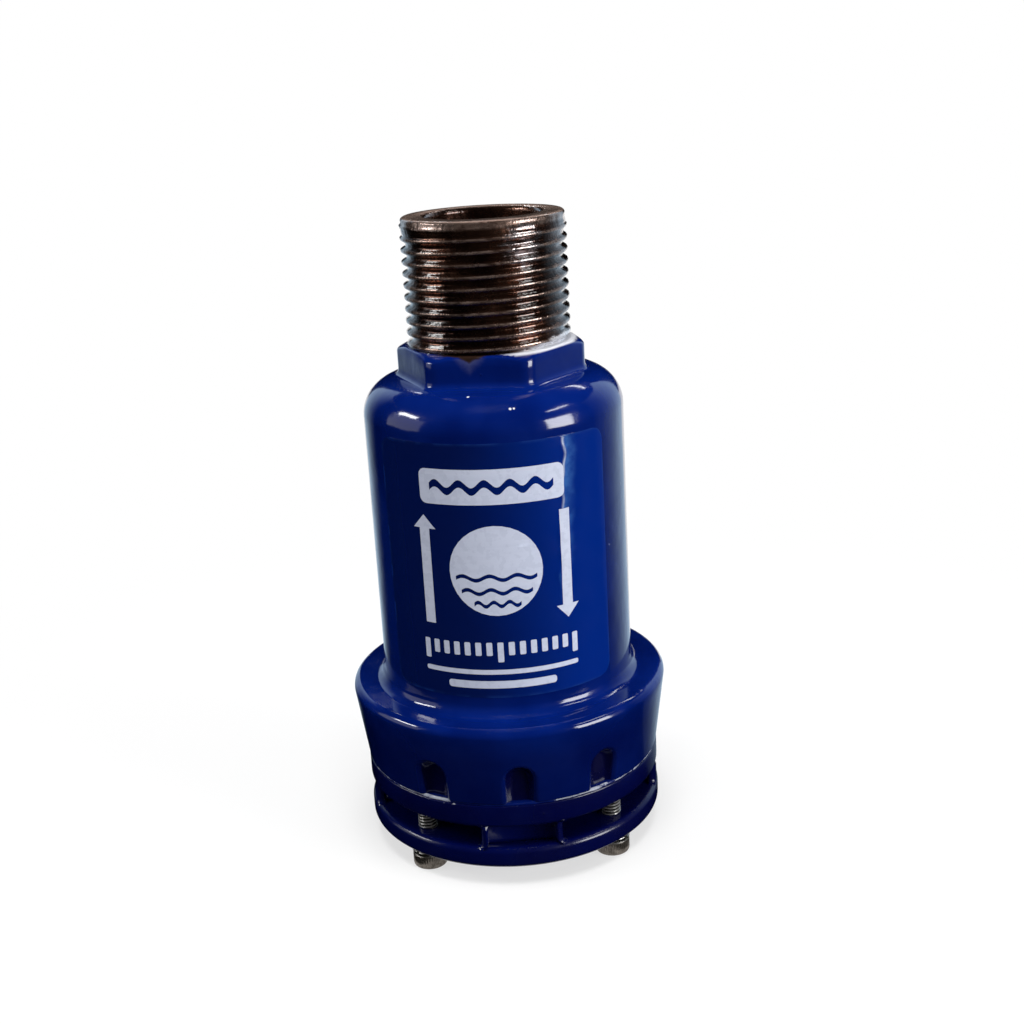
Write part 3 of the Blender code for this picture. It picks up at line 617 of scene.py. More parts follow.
def rubbed_steel(tree, streak):
    """Where the stub is rubbed bright: crests, collar and rim face; and the face alone."""
    crest = THREAD_ROOT + 0.78 * THREAD_DEPTH, THREAD_ROOT + 0.95 * THREAD_DEPTH
    crests = tree.times(tree.remap(tree.radius, *crest), tree.remap(streak, 0.3, 0.62))
    outside = tree.remap(tree.radius, BORE_RADIUS + 0.1 * MM, BORE_RADIUS + 0.9 * MM)
    collar = tree.times(tree.remap(tree.z, Z_COLLAR - 0.4 * MM, Z_COLLAR + 0.3 * MM), outside)
    collar = tree.times(collar, tree.remap(streak, 0.3, 0.65, 0.25, 0.75))
    face = tree.times(tree.remap(tree.z, Z_RIM - 0.35 * MM, Z_RIM - 0.1 * MM), outside)
    bright = tree.times(face, tree.remap(streak, 0.3, 0.65, 0.6, 1.0))
    return tree.most(crests, collar, bright), face


def primer_spray_and_sheen(tree, streak):
    """Primer blown onto the thread's foot, with a painted highlight in it, rising towards the right."""
    rise = tree.remap(tree.x, 2 * MM, 16 * MM, -0.6 * MM, 2.2 * MM)
    height = tree.math("SUBTRACT", tree.math("SUBTRACT", tree.z, Z_STUB), rise)
    height = tree.line(streak, 3.0 * MM, height)
    return tree.times(tree.remap(height, 1.9 * MM, 1.0 * MM), tree.remap(tree.x, 1 * MM, 4 * MM))


def oil_normal(tree, normal):
    """Oil fills the grooves, so its surface leans towards a plain cylinder's there."""
    level = tree.vector("NORMALIZE", tree.vector("MULTIPLY", tree.place, (1, 1, 0)))
    turned = {"vector_type": "NORMAL", "convert_from": "OBJECT", "convert_to": "WORLD"}
    level = tree.add("ShaderNodeVectorTransform", (level,), **turned).outputs[0]
    filled = tree.remap(tree.radius, THREAD_ROOT - 0.6 * MM, THREAD_ROOT - 0.2 * MM)
    filled = tree.times(filled, tree.remap(tree.z, Z_COLLAR, Z_COLLAR - 0.5 * MM))
    level = tree.vector("SCALE", level, Scale=filled)
    return tree.vector("NORMALIZE", tree.vector("ADD", normal, level))


def oily_steel():
    """Dark, oily cut thread, with brown in the grooves and rubbed crests; a silvery painted highlight at
    its upper right, and primer with a painted highlight at its foot.
    """
    material, tree = new_material("oily threaded steel")
    streak = tree.noise(2.5 * MM, 5, 0.75, (1, 1, 3))
    rubbed, face = rubbed_steel(tree, streak)
    stain = tree.remap(tree.noise(9 * MM, 4), 0.38, 0.62)
    colour = tree.mix(rubbed, tree.mix(stain, STEEL_DARK, STEEL_BROWN), STEEL_CREST)
    # Painted highlight: a silvery patch on the stub's upper right, in the share named worn
    reach = tree.line(streak, -SHEEN_RADIUS, tree.distance(SHEEN_PLACE))
    worn = tree.remap(reach, 0.35 * SHEEN_RADIUS, 0.15 * SHEEN_RADIUS)
    worn = tree.times(worn, tree.remap(streak, 0.4, 0.6), 0.7)
    # Primer on the thread's foot, with a painted highlight in it
    spray_and_sheen = primer_spray_and_sheen(tree, streak)
    colour = tree.mix(spray_and_sheen, tree.mix(worn, colour, STEEL_SHEEN), PRIMER_AND_SHEEN)
    rough = tree.remap(tree.noise(2.5 * MM, 5, 0.7), 0.3, 0.75, 0.13, 0.36)
    pits = tree.bump(tree.noise(0.6 * MM, 4, 0.7), 0.03 * MM)
    normal = tree.bump(tree.noise(3 * MM, 3, 0.6, (1, 1, 0.5)), 0.25 * MM, pits)
    metallic = tree.remap(rubbed, 0, 1, 0.94, 0.74, soft=False)
    metallic = tree.times(metallic, tree.remap(tree.most(face, spray_and_sheen), 0, 1, 1.0, 0.3))
    tree.dress({"Base Color": colour, "Roughness": rough, "Normal": normal})
    tree.dress({"Metallic": metallic, "Coat Normal": oil_normal(tree, normal)})
    tree.dress({"Coat Weight": 1.0, "Coat Roughness": 0.05})
    return material


def screw_steel():
    """Zinc plated steel: dull brown-grey on the heads, brighter on the threads, whose grooves are
    darkened as painted shade.
    """
    material, tree = new_material("zinc plated screw steel")
    grime = tree.remap(tree.noise(1.2 * MM, 5, 0.7), 0.35, 0.7)
    middle = SCREW_CIRCLE * math.sqrt(0.5)
    aside = [tree.math("SUBTRACT", tree.math("ABSOLUTE", v), middle) for v in (tree.x, tree.y)]
    # Painted shade: the thread's grooves darker than its crests
    crest = tree.remap(tree.length(*aside), SCREW_RADIUS - 0.3 * MM, SCREW_RADIUS - 0.06 * MM)
    thread = tree.mix(crest, ZINC_GROOVE_SHADE, tree.mix(grime, ZINC_LIGHT, ZINC_GREY))
    head = tree.remap(tree.z, HEAD_HEIGHT + 0.05 * MM, HEAD_HEIGHT - 0.15 * MM)
    tree.dress({
        "Base Color": tree.mix(head, thread, tree.mix(grime, ZINC_DULL, ZINC_GRIMY)),
        "Roughness": tree.remap(grime, 0, 1, 0.26, 0.46, soft=False),
        "Normal": tree.bump(tree.noise(0.35 * MM, 3), 0.015 * MM),
        "Metallic": tree.remap(head, 0, 1, 0.75, 0.8, soft=False),
    })
    return material


def metal(name, dark, light, grain, rough_low, rough_high, stretch=(1, 1, 1)):
    """Bare metal with tool marks or grain and uneven dulling."""
    material, tree = new_material(name)
    dulling = tree.remap(tree.noise(4 * MM, 4), 0.35, 0.68)
    tree.dress({
        "Base Color": tree.mix(dulling, light, dark),
        "Roughness": tree.remap(dulling, 0, 1, rough_low, rough_high),
        "Normal": tree.bump(tree.noise(grain, 3, 0.6, stretch), 0.012 * MM),
        "Metallic": 1.0,
    })
    return material


def moulded(name, first, second, rough_low, rough_high, grain):
    """Moulded plastic or rubber: mottled, with a fine grain."""
    material, tree = new_material(name)
    cloud = tree.remap(tree.noise(6 * MM, 4), 0.35, 0.65)
    tree.dress({
        "Base Color": tree.mix(cloud, first, second),
        "Roughness": tree.remap(cloud, 0, 1, rough_low, rough_high),
        "Normal": tree.bump(tree.noise(grain, 3), 0.02 * MM),
    })
    return material


def gasket_material():
    """The gasket's edge: enamel has run over most of it and has flaked off in places; pale fibre shows
    more to the left and right, partly as a painted highlight.
    """
    material, tree = new_material("painted gasket edge")
    # Partly painted highlight: more pale fibre to the left and right, where the seam line catches the
    # light
    left = tree.remap(tree.x, -11.5 * MM, -14.5 * MM, 0.0, 0.22)
    right = tree.remap(tree.x, 4 * MM, 8 * MM, 0.0, 0.17)
    broken = tree.math("ADD", tree.noise(3 * MM, 5, 0.7), tree.most(left, right))
    outer = tree.remap(tree.radius, GASKET_RADIUS - 0.6 * MM, GASKET_RADIUS - 0.4 * MM)
    bare_and_sheen = tree.times(outer, tree.remap(broken, 0.60, 0.67))
    fibre = tree.mix(tree.noise(0.8 * MM, 3), (0.30, 0.33, 0.42), (0.62, 0.65, 0.74))
    tree.dress({
        "Base Color": tree.mix(bare_and_sheen, ENAMEL_DEEP, fibre),
        "Roughness": tree.remap(bare_and_sheen, 0, 1, 0.25, 0.75, soft=False),
        "Normal": tree.bump(tree.noise(0.6 * MM, 3), 0.08 * MM),
    })
    return material


# Finishes of the label
FILM_SHADED_LEFT = (0.0012, 0.0085, 0.086)
FILM_LIT_RIGHT = (0.0008, 0.0215, 0.225)
FILM_LOOSE = (0.045, 0.150, 0.46)
FILM_FOLD = (0.62, 0.68, 0.85)
FILM_EDGE_HIGHLIGHT = (0.010, 0.040, 0.22)
INK_GREY = (0.66, 0.71, 0.88)
INK_WHITE = (0.70, 0.75, 0.92)


def film_material():
    """Clear label film over the enamel: deeper blue, lighter towards the right and darker to the left as
    painted light, with a painted highlight at its edge, and paler where it is loose.
    """
    material, tree = new_material("label film")
    labels = ("edge", "loose", "fold")
    shares = [tree.add("ShaderNodeAttribute", attribute_name=label) for label in labels]
    edge, loose, fold = [node.outputs["Fac"] for node in shares]
    # Painted light: the film lighter towards the right, darker to the left
    side = tree.line(tree.noise(14 * MM), 8 * MM, tree.x)
    colour = tree.mix(tree.remap(side, -6 * MM, 22 * MM), FILM_SHADED_LEFT, FILM_LIT_RIGHT)
    patchy = tree.remap(tree.noise(3 * MM, 3), 0.3, 0.6, 0.25, 0.9)
    colour = tree.mix(tree.times(loose, patchy), colour, FILM_LOOSE)
    colour = tree.mix(tree.times(fold, patchy), colour, FILM_FOLD)
    # Painted highlight along the film's edge
    faint = tree.times(edge, tree.remap(tree.noise(5 * MM, 2), 0.4, 0.62, 0.1, 0.8))
    fine = tree.bump(tree.noise(0.7 * MM, 2), 0.006 * MM)
    tree.dress({
        "Base Color": tree.mix(faint, colour, FILM_EDGE_HIGHLIGHT),
        "Roughness": tree.remap(tree.noise(6 * MM, 4), 0.35, 0.7, 0.10, 0.18),
        "Normal": tree.bump(tree.noise(5 * MM, 2, 0.5, (1, 1, 0.5)), 0.10 * MM, fine),
        "Coat Weight": 0.4,
        "Coat Roughness": 0.05,
    })
    return material


def ink_material():
    """White print with the faint level bands of the printing head."""
    material, tree = new_material("white print")
    mottle = tree.noise(1.5 * MM, 4)
    bands = tree.math("ADD", tree.noise(0.9 * MM, 2, 0.5, (0.02, 0.02, 1)), mottle)
    tree.dress({
        "Base Color": tree.mix(tree.remap(bands, 0.8, 1.2), INK_GREY, INK_WHITE),
        "Roughness": tree.remap(mottle, 0.3, 0.7, 0.22, 0.38),
        "Normal": tree.bump(mottle, 0.01 * MM),
        "Coat Weight": 0.3,
        "Coat Roughness": 0.08,
    })
    return material


def geometry_tree(name, inputs):
    """A Geometry Nodes tree with named inputs; returns it, its Tree, group input and output."""
    group = bpy.data.node_groups.new(name, "GeometryNodeTree")
    face = group.interface
    inputs = {"Geometry": "Geometry"} | inputs | {"Material": "Material"}
    for label, kind in inputs.items():
        face.new_socket(label, in_out="INPUT", socket_type=f"NodeSocket{kind}")
    face.new_socket("Geometry", in_out="OUTPUT", socket_type="NodeSocketGeometry")
    tree = Tree(group)
    given = tree.add("NodeGroupInput").outputs
    return group, tree, given, tree.add("NodeGroupOutput").inputs


def end_tree(tree, given, result, geometry):
    """The tree's end: copies made real, and the material set."""
    solid = tree.add("GeometryNodeRealizeInstances", (geometry,)).outputs[0]
    paint = tree.add("GeometryNodeSetMaterial", (solid,), {"Material": given["Material"]})
    tree.set(result[0], paint.outputs[0])


def run_tree(piece, group, values):
    """The tree worked on the piece with its inputs set, kept as a plain mesh."""
    step = piece.modifiers.new(group.name, "NODES")
    step.node_group = group
    for item in group.interface.items_tree:
        if item.in_out == "INPUT" and item.name in values:
            step[item.identifier] = values[item.name]
    apply_modifiers(piece)


def thread_tree():
    """Raises a helical ridge on a turned piece; crests pass +X at the top height."""
    labels = ("Root", "Depth", "Pitch", "Top", "Bottom", "Run In", "Run Out", "Wear")
    group, tree, given, result = geometry_tree("helical thread", dict.fromkeys(labels, "Float"))
    turn = tree.math("DIVIDE", tree.math("ARCTAN2", tree.y, tree.x), 2 * PI)
    climb = tree.math("DIVIDE", tree.math("SUBTRACT", tree.z, given["Top"]), given["Pitch"])
    away = tree.math("PINGPONG", tree.math("SUBTRACT", climb, turn), 0.5)
    low = tree.math("ADD", given["Bottom"], given["Run Out"])
    high = tree.math("SUBTRACT", given["Top"], given["Run In"])
    run = tree.times(tree.remap(tree.z, given["Bottom"], low), tree.remap(tree.z, given["Top"], high))
    worn = tree.times(tree.noise(3 * MM, 3), given["Wear"])
    depth = tree.times(given["Depth"], tree.math("SUBTRACT", 1.0, worn))
    lift = tree.times(tree.remap(away, 0.45, 0.06), run, depth)
    wanted = tree.most(tree.radius, tree.math("ADD", given["Root"], lift))
    grow = tree.math("DIVIDE", wanted, tree.radius)
    moved = (tree.times(tree.x, grow), tree.times(tree.y, grow), tree.z)
    moved = tree.add("ShaderNodeCombineXYZ", moved).outputs[0]
    ends = (tree.radius, tree.times(given["Root"], 0.98))
    outside = tree.add("FunctionNodeCompare", ends, operation="GREATER_THAN").outputs[0]
    raised = tree.add("GeometryNodeSetPosition", (given["Geometry"], outside, moved))
    end_tree(tree, given, result, raised.outputs[0])
    return group


def ring_tree():
    """Copies a piece round the axis, turned so that its +X side faces out."""
    inputs = {"Count": "Int", "Radius": "Float", "First Angle": "Float"}
    group, tree, given, result = geometry_tree("copies round the axis", inputs)
    count, first = given["Count"], given["First Angle"]
    circle = {"Vertices": count, "Radius": given["Radius"]}
    circle = tree.add("GeometryNodeMeshCircle", named=circle).outputs[0]
    start = tree.add("ShaderNodeCombineXYZ", named={"Z": first}).outputs[0]
    points = tree.add("GeometryNodeTransform", named={"Geometry": circle, "Rotation": start})
    index = tree.add("GeometryNodeInputIndex").outputs[0]
    angle = tree.math("ADD", tree.times(index, tree.math("DIVIDE", 2 * PI, count)), first)
    facing = tree.add("ShaderNodeCombineXYZ", named={"Z": angle}).outputs[0]
    named = {"Points": points.outputs[0], "Instance": given["Geometry"]}
    named["Rotation"] = tree.add("FunctionNodeEulerToRotation", (facing,)).outputs[0]
    copies = tree.add("GeometryNodeInstanceOnPoints", named=named)
    end_tree(tree, given, result, copies.outputs[0])
    return group


def copy_round(piece, ring, material, radius=SCREW_CIRCLE, first=FIRST_SCREW):
    """As many copies of the piece as there are screws, set round the axis."""
    values = {"Count": SCREW_COUNT, "Radius": radius, "First Angle": first, "Material": material}
    run_tree(piece, ring, values)


def hexagon_radius(angles, apothem, corner, turn):
    """Distance from the axis to a hexagon with rounded corners; a flat faces the turn angle."""
    half = PI / 6
    off = np.abs((angles - turn + half) % (2 * half) - half)
    reach = (apothem - corner) / math.cos(half)
    flat_end = math.atan((apothem - corner) * math.tan(half) / apothem)
    swing = half - off
    bulge = np.sqrt(np.maximum(corner**2 - (reach * np.sin(swing)) ** 2, 0))
    rounded = reach * np.cos(swing) + bulge
    return np.where(off < flat_end, apothem / np.cos(off), rounded)


def notched(angles, wall, z):
    """The flange wall's radius at a height, sunk where a round-topped notch lies."""
    off = np.full(angles.shape, PI)
    for group in range(NOTCH_GROUPS):
        for i in range(NOTCHES_PER_GROUP):
            middle = 2 * PI * group / NOTCH_GROUPS - PI / 2
            middle += NOTCH_SPACING * (i - (NOTCHES_PER_GROUP - 1) / 2)
            off = np.minimum(off, np.abs((angles - middle + PI) % (2 * PI) - PI))
    above = max(z - (Z_NOTCH_TOP - NOTCH_HALF), 0)
    inside = NOTCH_HALF - np.hypot(off * wall, above)
    return wall - (wall - NOTCH_FLOOR) * smooth_step(inside, -NOTCH_LIP, NOTCH_SLOPE)


def hexagon_rows(angles):
    """The wrench hexagon: flat top, corners turned to a cone, soft edge, root fillet."""
    flats = hexagon_radius(angles, HEX_APOTHEM, HEX_CORNER, HEX_TURN)

    def top(radius):
        return Z_STUB - np.maximum(radius - HEX_APOTHEM, 0) * math.tan(HEX_EDGE_SLOPE)

    edge = flats - HEX_SOFT_EDGE
    rows = [(STUB_HOLE_RADIUS, Z_STUB - THREAD_SINK), (STUB_HOLE_RADIUS, Z_STUB)]
    rows += [(THREAD_ROOT, Z_STUB), (np.minimum(edge, HEX_APOTHEM) - 0.1 * MM, Z_STUB)]
    rows += [(edge, top(edge)), (flats - HEX_BEVEL, top(flats) - HEX_BEVEL)]
    start = flats + HEX_ROOT_FILLET
    past = np.maximum(start - SHOULDER_TOP_RADIUS, 0)
    foot = Z_SHOULDER + np.sqrt(SHOULDER_RADIUS**2 - past**2) + HEX_ROOT_FILLET
    side = top(flats) - HEX_SOFT_EDGE
    rows += [(flats, side + (foot - Z_STUB) * share) for share in (0, 0.3, 0.6)]
    rows += arc(start, foot, HEX_ROOT_FILLET, 180, 270, 6)
    return rows, past


def shoulder_rows(past):
    """The round shoulder, which starts later where the hexagon's fillet reaches over it."""
    rows, steps = [], 18
    first = np.arccos(past / SHOULDER_RADIUS)
    for i in range(1, steps + 1):
        lean = first * (1 - i / steps)
        radius = SHOULDER_TOP_RADIUS + SHOULDER_RADIUS * np.cos(lean)
        rows.append((radius, Z_SHOULDER + SHOULDER_RADIUS * np.sin(lean)))
    return rows


def flange_rows(angles):
    """The flange's wall with its notches, down to the seam."""
    foot = Z_GASKET_TOP - SEAM_OVERLAP
    notch_start = Z_NOTCH_TOP + 2 * NOTCH_LIP
    heights = [*np.linspace(Z_FLANGE_SIDE, notch_start, 5)[1:]]
    heights += [*np.linspace(notch_start, foot + SEAM_ROUND, 37)[1:]]
    rows = []
    for z in heights:
        share = max((z - Z_BODY_FACE) / (Z_FLANGE_SIDE - Z_BODY_FACE), 0)
        wall = FLANGE_FOOT_RADIUS + (FLANGE_TOP_RADIUS - FLANGE_FOOT_RADIUS) * share
        rows.append((notched(angles, wall, z), z))
    edge = notched(angles, FLANGE_FOOT_RADIUS, foot)
    rows += arc(edge - SEAM_ROUND, foot + SEAM_ROUND, SEAM_ROUND, 0, -90, 4)[1:]
    return rows + [(CHAMBER_RADIUS + CHAMBER_CHAMFER, foot), (CHAMBER_RADIUS, foot + CHAMBER_CHAMFER)]


def inner_rows():
    """The casting's inside: chamber, ring groove, the baffle's ledge and the throat."""
    groove, low, high = CHAMBER_RADIUS + GROOVE_DEPTH, Z_HEX - GROOVE_LOW, Z_HEX - GROOVE_HIGH
    rows = [(CHAMBER_RADIUS, low), (groove, low), (groove, high), (CHAMBER_RADIUS, high)]
    rows += [(CHAMBER_RADIUS, Z_BAFFLE_SEAT), (BAFFLE_SEAT_RADIUS, Z_BAFFLE_SEAT)]
    rows += [(BORE_RADIUS + THROAT_EDGE, Z_THROAT), (BORE_RADIUS, Z_THROAT + THROAT_EDGE)]
    return rows + [(BORE_RADIUS, Z_THROAT + 1.0 * MM), (BORE_RADIUS + 0.5 * MM, Z_THROAT + 1.3 * MM)]


def body_rows(angles):
    """The casting's section at each angle, down the outside and up the inside."""
    rows, past = hexagon_rows(angles)
    rows += shoulder_rows(past)
    fillet = BARREL_FOOT_FILLET
    rows += straight((BARREL_RADIUS, Z_SHOULDER), (BARREL_RADIUS, Z_FLANGE + fillet + 1 * MM), 8)
    rows += arc(BARREL_RADIUS + fillet, Z_FLANGE + fillet, fillet, 180, 270, 8)
    rows += arc(FLANGE_TOP_RADIUS - FLANGE_EDGE, Z_FLANGE_SIDE, FLANGE_EDGE, 90, 0, 10)
    rows += flange_rows(angles)
    return rows + inner_rows()


def make_body():
    """The blue casting, from the hexagon down to the seam."""
    angles = around(BODY_COLUMNS)
    mesh = skin("body_casting", body_rows(angles), angles, loop=True)
    mesh.materials.append(enamel_material("blue enamel", 0.5, body_painted_shade, body_chips_and_sheen, body_stain))
    casting = place("body_casting", clean(mesh))
    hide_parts("body")
    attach(casting, "housing")


def stub_rows():
    """The threaded stub's section: rim, collar, blank for the thread, foot and bore."""
    blank = Z_COLLAR - THREAD_GAP
    hidden = Z_THROAT + STUB_LEDGE
    rows = [(BORE_RADIUS, Z_RIM - BORE_CHAMFER), (BORE_RADIUS + BORE_CHAMFER, Z_RIM)]
    rows += arc(COLLAR_RADIUS - RIM_ROUND, Z_RIM - RIM_ROUND, RIM_ROUND, 90, 0, 7)
    rows += [(COLLAR_RADIUS, Z_COLLAR + 0.2 * MM), (COLLAR_RADIUS - 0.1 * MM, Z_COLLAR)]
    count = round((blank - Z_STUB) / THREAD_PITCH * THREAD_ROWS)
    for z in np.linspace(blank, Z_STUB, count + 1):
        shallow = SHALLOW_START * smooth_step(z, blank - SHALLOW_LENGTH, blank)
        rows.append((THREAD_ROOT + shallow, z))
    rows += [(THREAD_ROOT, hidden), (BORE_RADIUS, hidden)]
    rows += straight((BORE_RADIUS, hidden), (BORE_RADIUS, Z_RIM - 1 * MM), 8)
    return rows


def make_stub(thread):
    """The bare inlet stub with its pipe thread."""
    mesh = clean(skin("inlet_stub", stub_rows(), around(STUB_COLUMNS), loop=True))
    stub = place("inlet_stub", mesh)
    values = {"Root": THREAD_ROOT, "Depth": THREAD_DEPTH, "Pitch": THREAD_PITCH, "Wear": 0.15}
    values |= {"Top": Z_COLLAR + THREAD_RUN_IN, "Run In": THREAD_RUN_IN}
    values |= {"Bottom": Z_STUB - THREAD_SINK, "Run Out": THREAD_RUN_OUT, "Material": oily_steel()}
    run_tree(stub, thread, values)
    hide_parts("body")
    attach(stub, "housing")


def plate_rows():
    """The cover's plate with its spigot, recess and outlet opening."""
    top, middle = Z_GASKET + SEAM_OVERLAP, Z_PLATE + PLATE_EDGE
    floor = Z_SPIGOT - SEAT_THICKNESS
    rows = [(SPIGOT_RADIUS, Z_SPIGOT - SPIGOT_CHAMFER), (SPIGOT_RADIUS, top)]
    rows += arc(FLANGE_FOOT_RADIUS - SEAM_ROUND, top - SEAM_ROUND, SEAM_ROUND, 90, 0, 4)
    rows += arc(FLANGE_FOOT_RADIUS - PLATE_EDGE, middle, PLATE_EDGE, 0, -90, 6)
    rows += arc(ORIFICE_RADIUS + PLATE_EDGE, middle, PLATE_EDGE, 270, 180, 6)
    rows += [(ORIFICE_RADIUS, floor), (RECESS_RADIUS, floor), (RECESS_RADIUS, Z_SPIGOT)]
    return rows + [(SPIGOT_RADIUS - SPIGOT_CHAMFER, Z_SPIGOT)]


def cap_rows():
    """The cap disc with its rounded rim."""
    inset = CAP_RADIUS - CAP_EDGE
    rows = [(0, Z_WINDOW), (inset / 2, Z_WINDOW)]
    rows += arc(inset, Z_WINDOW - CAP_EDGE, CAP_EDGE, 90, 0, 7)
    rows += arc(inset, Z_CAP + CAP_EDGE, CAP_EDGE, 0, -90, 7)
    return rows + [(inset / 2, Z_CAP), (0, Z_CAP)]


def lug_outline(grow, z):
    """Outline of one lug on +X, its corners rounded; grow widens it for the fillets."""
    half = (PI / 2 - WINDOW_ANGLE) / 2 + grow / FLANGE_FOOT_RADIUS
    low, high = LUG_INNER_RADIUS - grow, FLANGE_FOOT_RADIUS
    corner_angle = LUG_CORNER / FLANGE_FOOT_RADIUS
    corners = ((high, half, 90), (low, half, 180), (low, -half, 270), (high, -half, 360))
    points = []
    for radius, side, start in corners:
        centre_r = radius + (LUG_CORNER if radius == low else -LUG_CORNER)
        centre_a = side - math.copysign(corner_angle, side)
        for turn in np.radians(np.linspace(start, start - 90, 7)):
            r = centre_r + LUG_CORNER * math.cos(turn)
            a = centre_a + corner_angle * math.sin(turn)
            points.append((r * math.cos(a), r * math.sin(a), z))
    return points


def lug_mesh():
    """One lug between two windows, flared into the cap and the plate."""
    flare = arc(1, 1, 1, 270, 180, 6)
    levels = [(Z_WINDOW - LUG_SINK, LUG_FILLET)]
    levels += [(Z_WINDOW + LUG_FILLET * rise, LUG_FILLET * grow) for grow, rise in flare]
    levels += [(Z_WINDOW + Z_PLATE - z, grow) for z, grow in reversed(levels)]
    return lofted("lug", [lug_outline(grow, z) for z, grow in levels])


def make_cover(ring):
    """The blue cover casting: plate, cap and the four lugs between the windows."""
    enamel = enamel_material("blue enamel with painted shade", 0.15, cover_painted_shade, cover_chips)
    lugs = place("cover_lugs", lug_mesh())
    copy_round(lugs, ring, enamel, 0.0, 0.0)
    angles = around(COVER_COLUMNS)
    plate = skin("cover_plate", plate_rows(), angles, loop=True)
    cap = skin("cover_cap", cap_rows(), angles)
    cover = place("cover_casting", joined("cover_casting", [plate, cap, lugs.data]))
    bpy.data.objects.remove(lugs)
    cover.data.materials.clear()
    cover.data.materials.append(enamel)
    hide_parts("cover")
    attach(cover, "housing")


def make_gasket():
    """The gasket, with an uneven edge in the seam."""
    angles = around(COVER_COLUMNS)
    rng = np.random.default_rng(7)
    uneven = sum(rng.uniform(-1, 1) * np.sin(k * angles + rng.uniform(0, 6)) for k in range(9, 60, 3))
    edge = np.minimum(GASKET_RADIUS - GASKET_INSET + GASKET_WAVER * uneven, GASKET_RADIUS)
    inner, middle = edge - GASKET_EDGE, (Z_GASKET + Z_GASKET_TOP) / 2
    rows = [(CHAMBER_RADIUS, Z_GASKET_TOP), (inner, Z_GASKET_TOP), (edge, middle + 0.1 * MM)]
    rows += [(edge, middle - 0.1 * MM), (inner, Z_GASKET), (CHAMBER_RADIUS, Z_GASKET)]
    mesh = skin("gasket_sheet", rows, angles, loop=True)
    mesh.materials.append(gasket_material())
    gasket = place("gasket_sheet", clean(mesh))
    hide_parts("cover_gasket")
    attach(gasket, "housing")


def head_mesh():
    """A socket head on the axis: knurled side, rounded foot edge, hexagon socket."""
    angles = around(KNURLS * 5)
    socket = hexagon_radius(angles, SOCKET_FLATS / 2, SOCKET_CORNER, 0)
    wave = np.abs((angles * KNURLS / (2 * PI)) % 1 - 0.5) * 2
    knurled = HEAD_RADIUS - KNURL_DEPTH * smooth_step(wave, 0.1, 0.9)
    plain = HEAD_RADIUS - KNURL_PROUD
    rows = [(0, SOCKET_DEPTH + SOCKET_CONE), (socket, SOCKET_DEPTH), (socket, SOCKET_LIP)]
    rows.append((socket + SOCKET_LIP, 0))
    rows += arc(plain - HEAD_EDGE, HEAD_EDGE, HEAD_EDGE, -90, 0, 5)
    low, high = HEAD_EDGE + KNURL_MARGIN, HEAD_HEIGHT - KNURL_MARGIN
    rows += [(knurled, low), (knurled, (low + high) / 2), (knurled, high)]
    rows += [(plain, HEAD_HEIGHT - HEAD_BACK_EDGE), (plain - HEAD_BACK_EDGE, HEAD_HEIGHT)]
    rows.append((0, HEAD_HEIGHT))
    return skin("screw_head", rows, angles)


def shank_rows():
    """The screw's shank as a blank for its thread, with a chamfered tip."""
    low = HEAD_HEIGHT - SHANK_SINK
    count = round((Z_SCREW_TIP - low) / SCREW_PITCH * SCREW_ROWS)
    rows = [(0, low), (SCREW_ROOT, low)]
    rows += straight((SCREW_ROOT, low), (SCREW_ROOT, Z_SCREW_TIP - SHANK_TIP_CHAMFER), count)
    return rows + [(SCREW_ROOT - SHANK_TIP_CHAMFER, Z_SCREW_TIP), (0, Z_SCREW_TIP)]


def make_screws(thread, ring):
    """The four cover screws, each a knurled head on a threaded shank."""
    steel = screw_steel()
    shank = place("screw_shank", clean(skin("screw_shank", shank_rows(), around(SCREW_COLUMNS))))
    values = {"Root": SCREW_ROOT, "Depth": SCREW_THREAD_DEPTH, "Pitch": SCREW_PITCH, "Wear": 0.05}
    values |= {"Top": Z_SCREW_TIP, "Run In": SCREW_TIP_CHAMFER}
    values |= {"Bottom": HEAD_HEIGHT + SCREW_NECK, "Run Out": SCREW_PITCH, "Material": steel}
    run_tree(shank, thread, values)
    screws = place("cover_screws", joined("cover_screws", [head_mesh(), shank.data]))
    bpy.data.objects.remove(shank)
    copy_round(screws, ring, steel)
    sharpen(screws)
    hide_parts(*[f"cover_screw_{i + 1}" for i in range(SCREW_COUNT)])
    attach(screws, "housing")


def washer_mesh():
    """A split lock washer on the axis, its ends sprung a little apart."""
    half, edge = math.asin(WASHER_SPLIT / 2 / WASHER_RADIUS), WASHER_EDGE
    low, high = Z_WASHER, Z_WASHER + WASHER_THICKNESS - WASHER_LIFT
    section = [(WASHER_BORE, low + edge), (WASHER_BORE, high - edge), (WASHER_BORE + edge, high)]
    section += [(WASHER_RADIUS - edge, high), (WASHER_RADIUS, high - edge), (WASHER_RADIUS, low + edge)]
    section += [(WASHER_RADIUS - edge, low), (WASHER_BORE + edge, low)]
    sections, steps = [], 48
    for i, turn in enumerate(np.linspace(half, 2 * PI - half, steps + 1)):
        lift = WASHER_LIFT * i / steps
        sections.append([(r * math.cos(turn), r * math.sin(turn), z + lift) for r, z in section])
    return lofted("lock_washer", sections)


def make_washers(ring):
    """The split lock washers under the heads."""
    steel = metal("bright zinc", (0.50, 0.49, 0.46), (0.80, 0.80, 0.78), 0.3 * MM, 0.18, 0.34)
    washers = place("lock_washers", washer_mesh())
    copy_round(washers, ring, steel)
    sharpen(washers)
    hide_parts(*[f"lock_washer_{i + 1}" for i in range(SCREW_COUNT)])
    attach(washers, "housing")


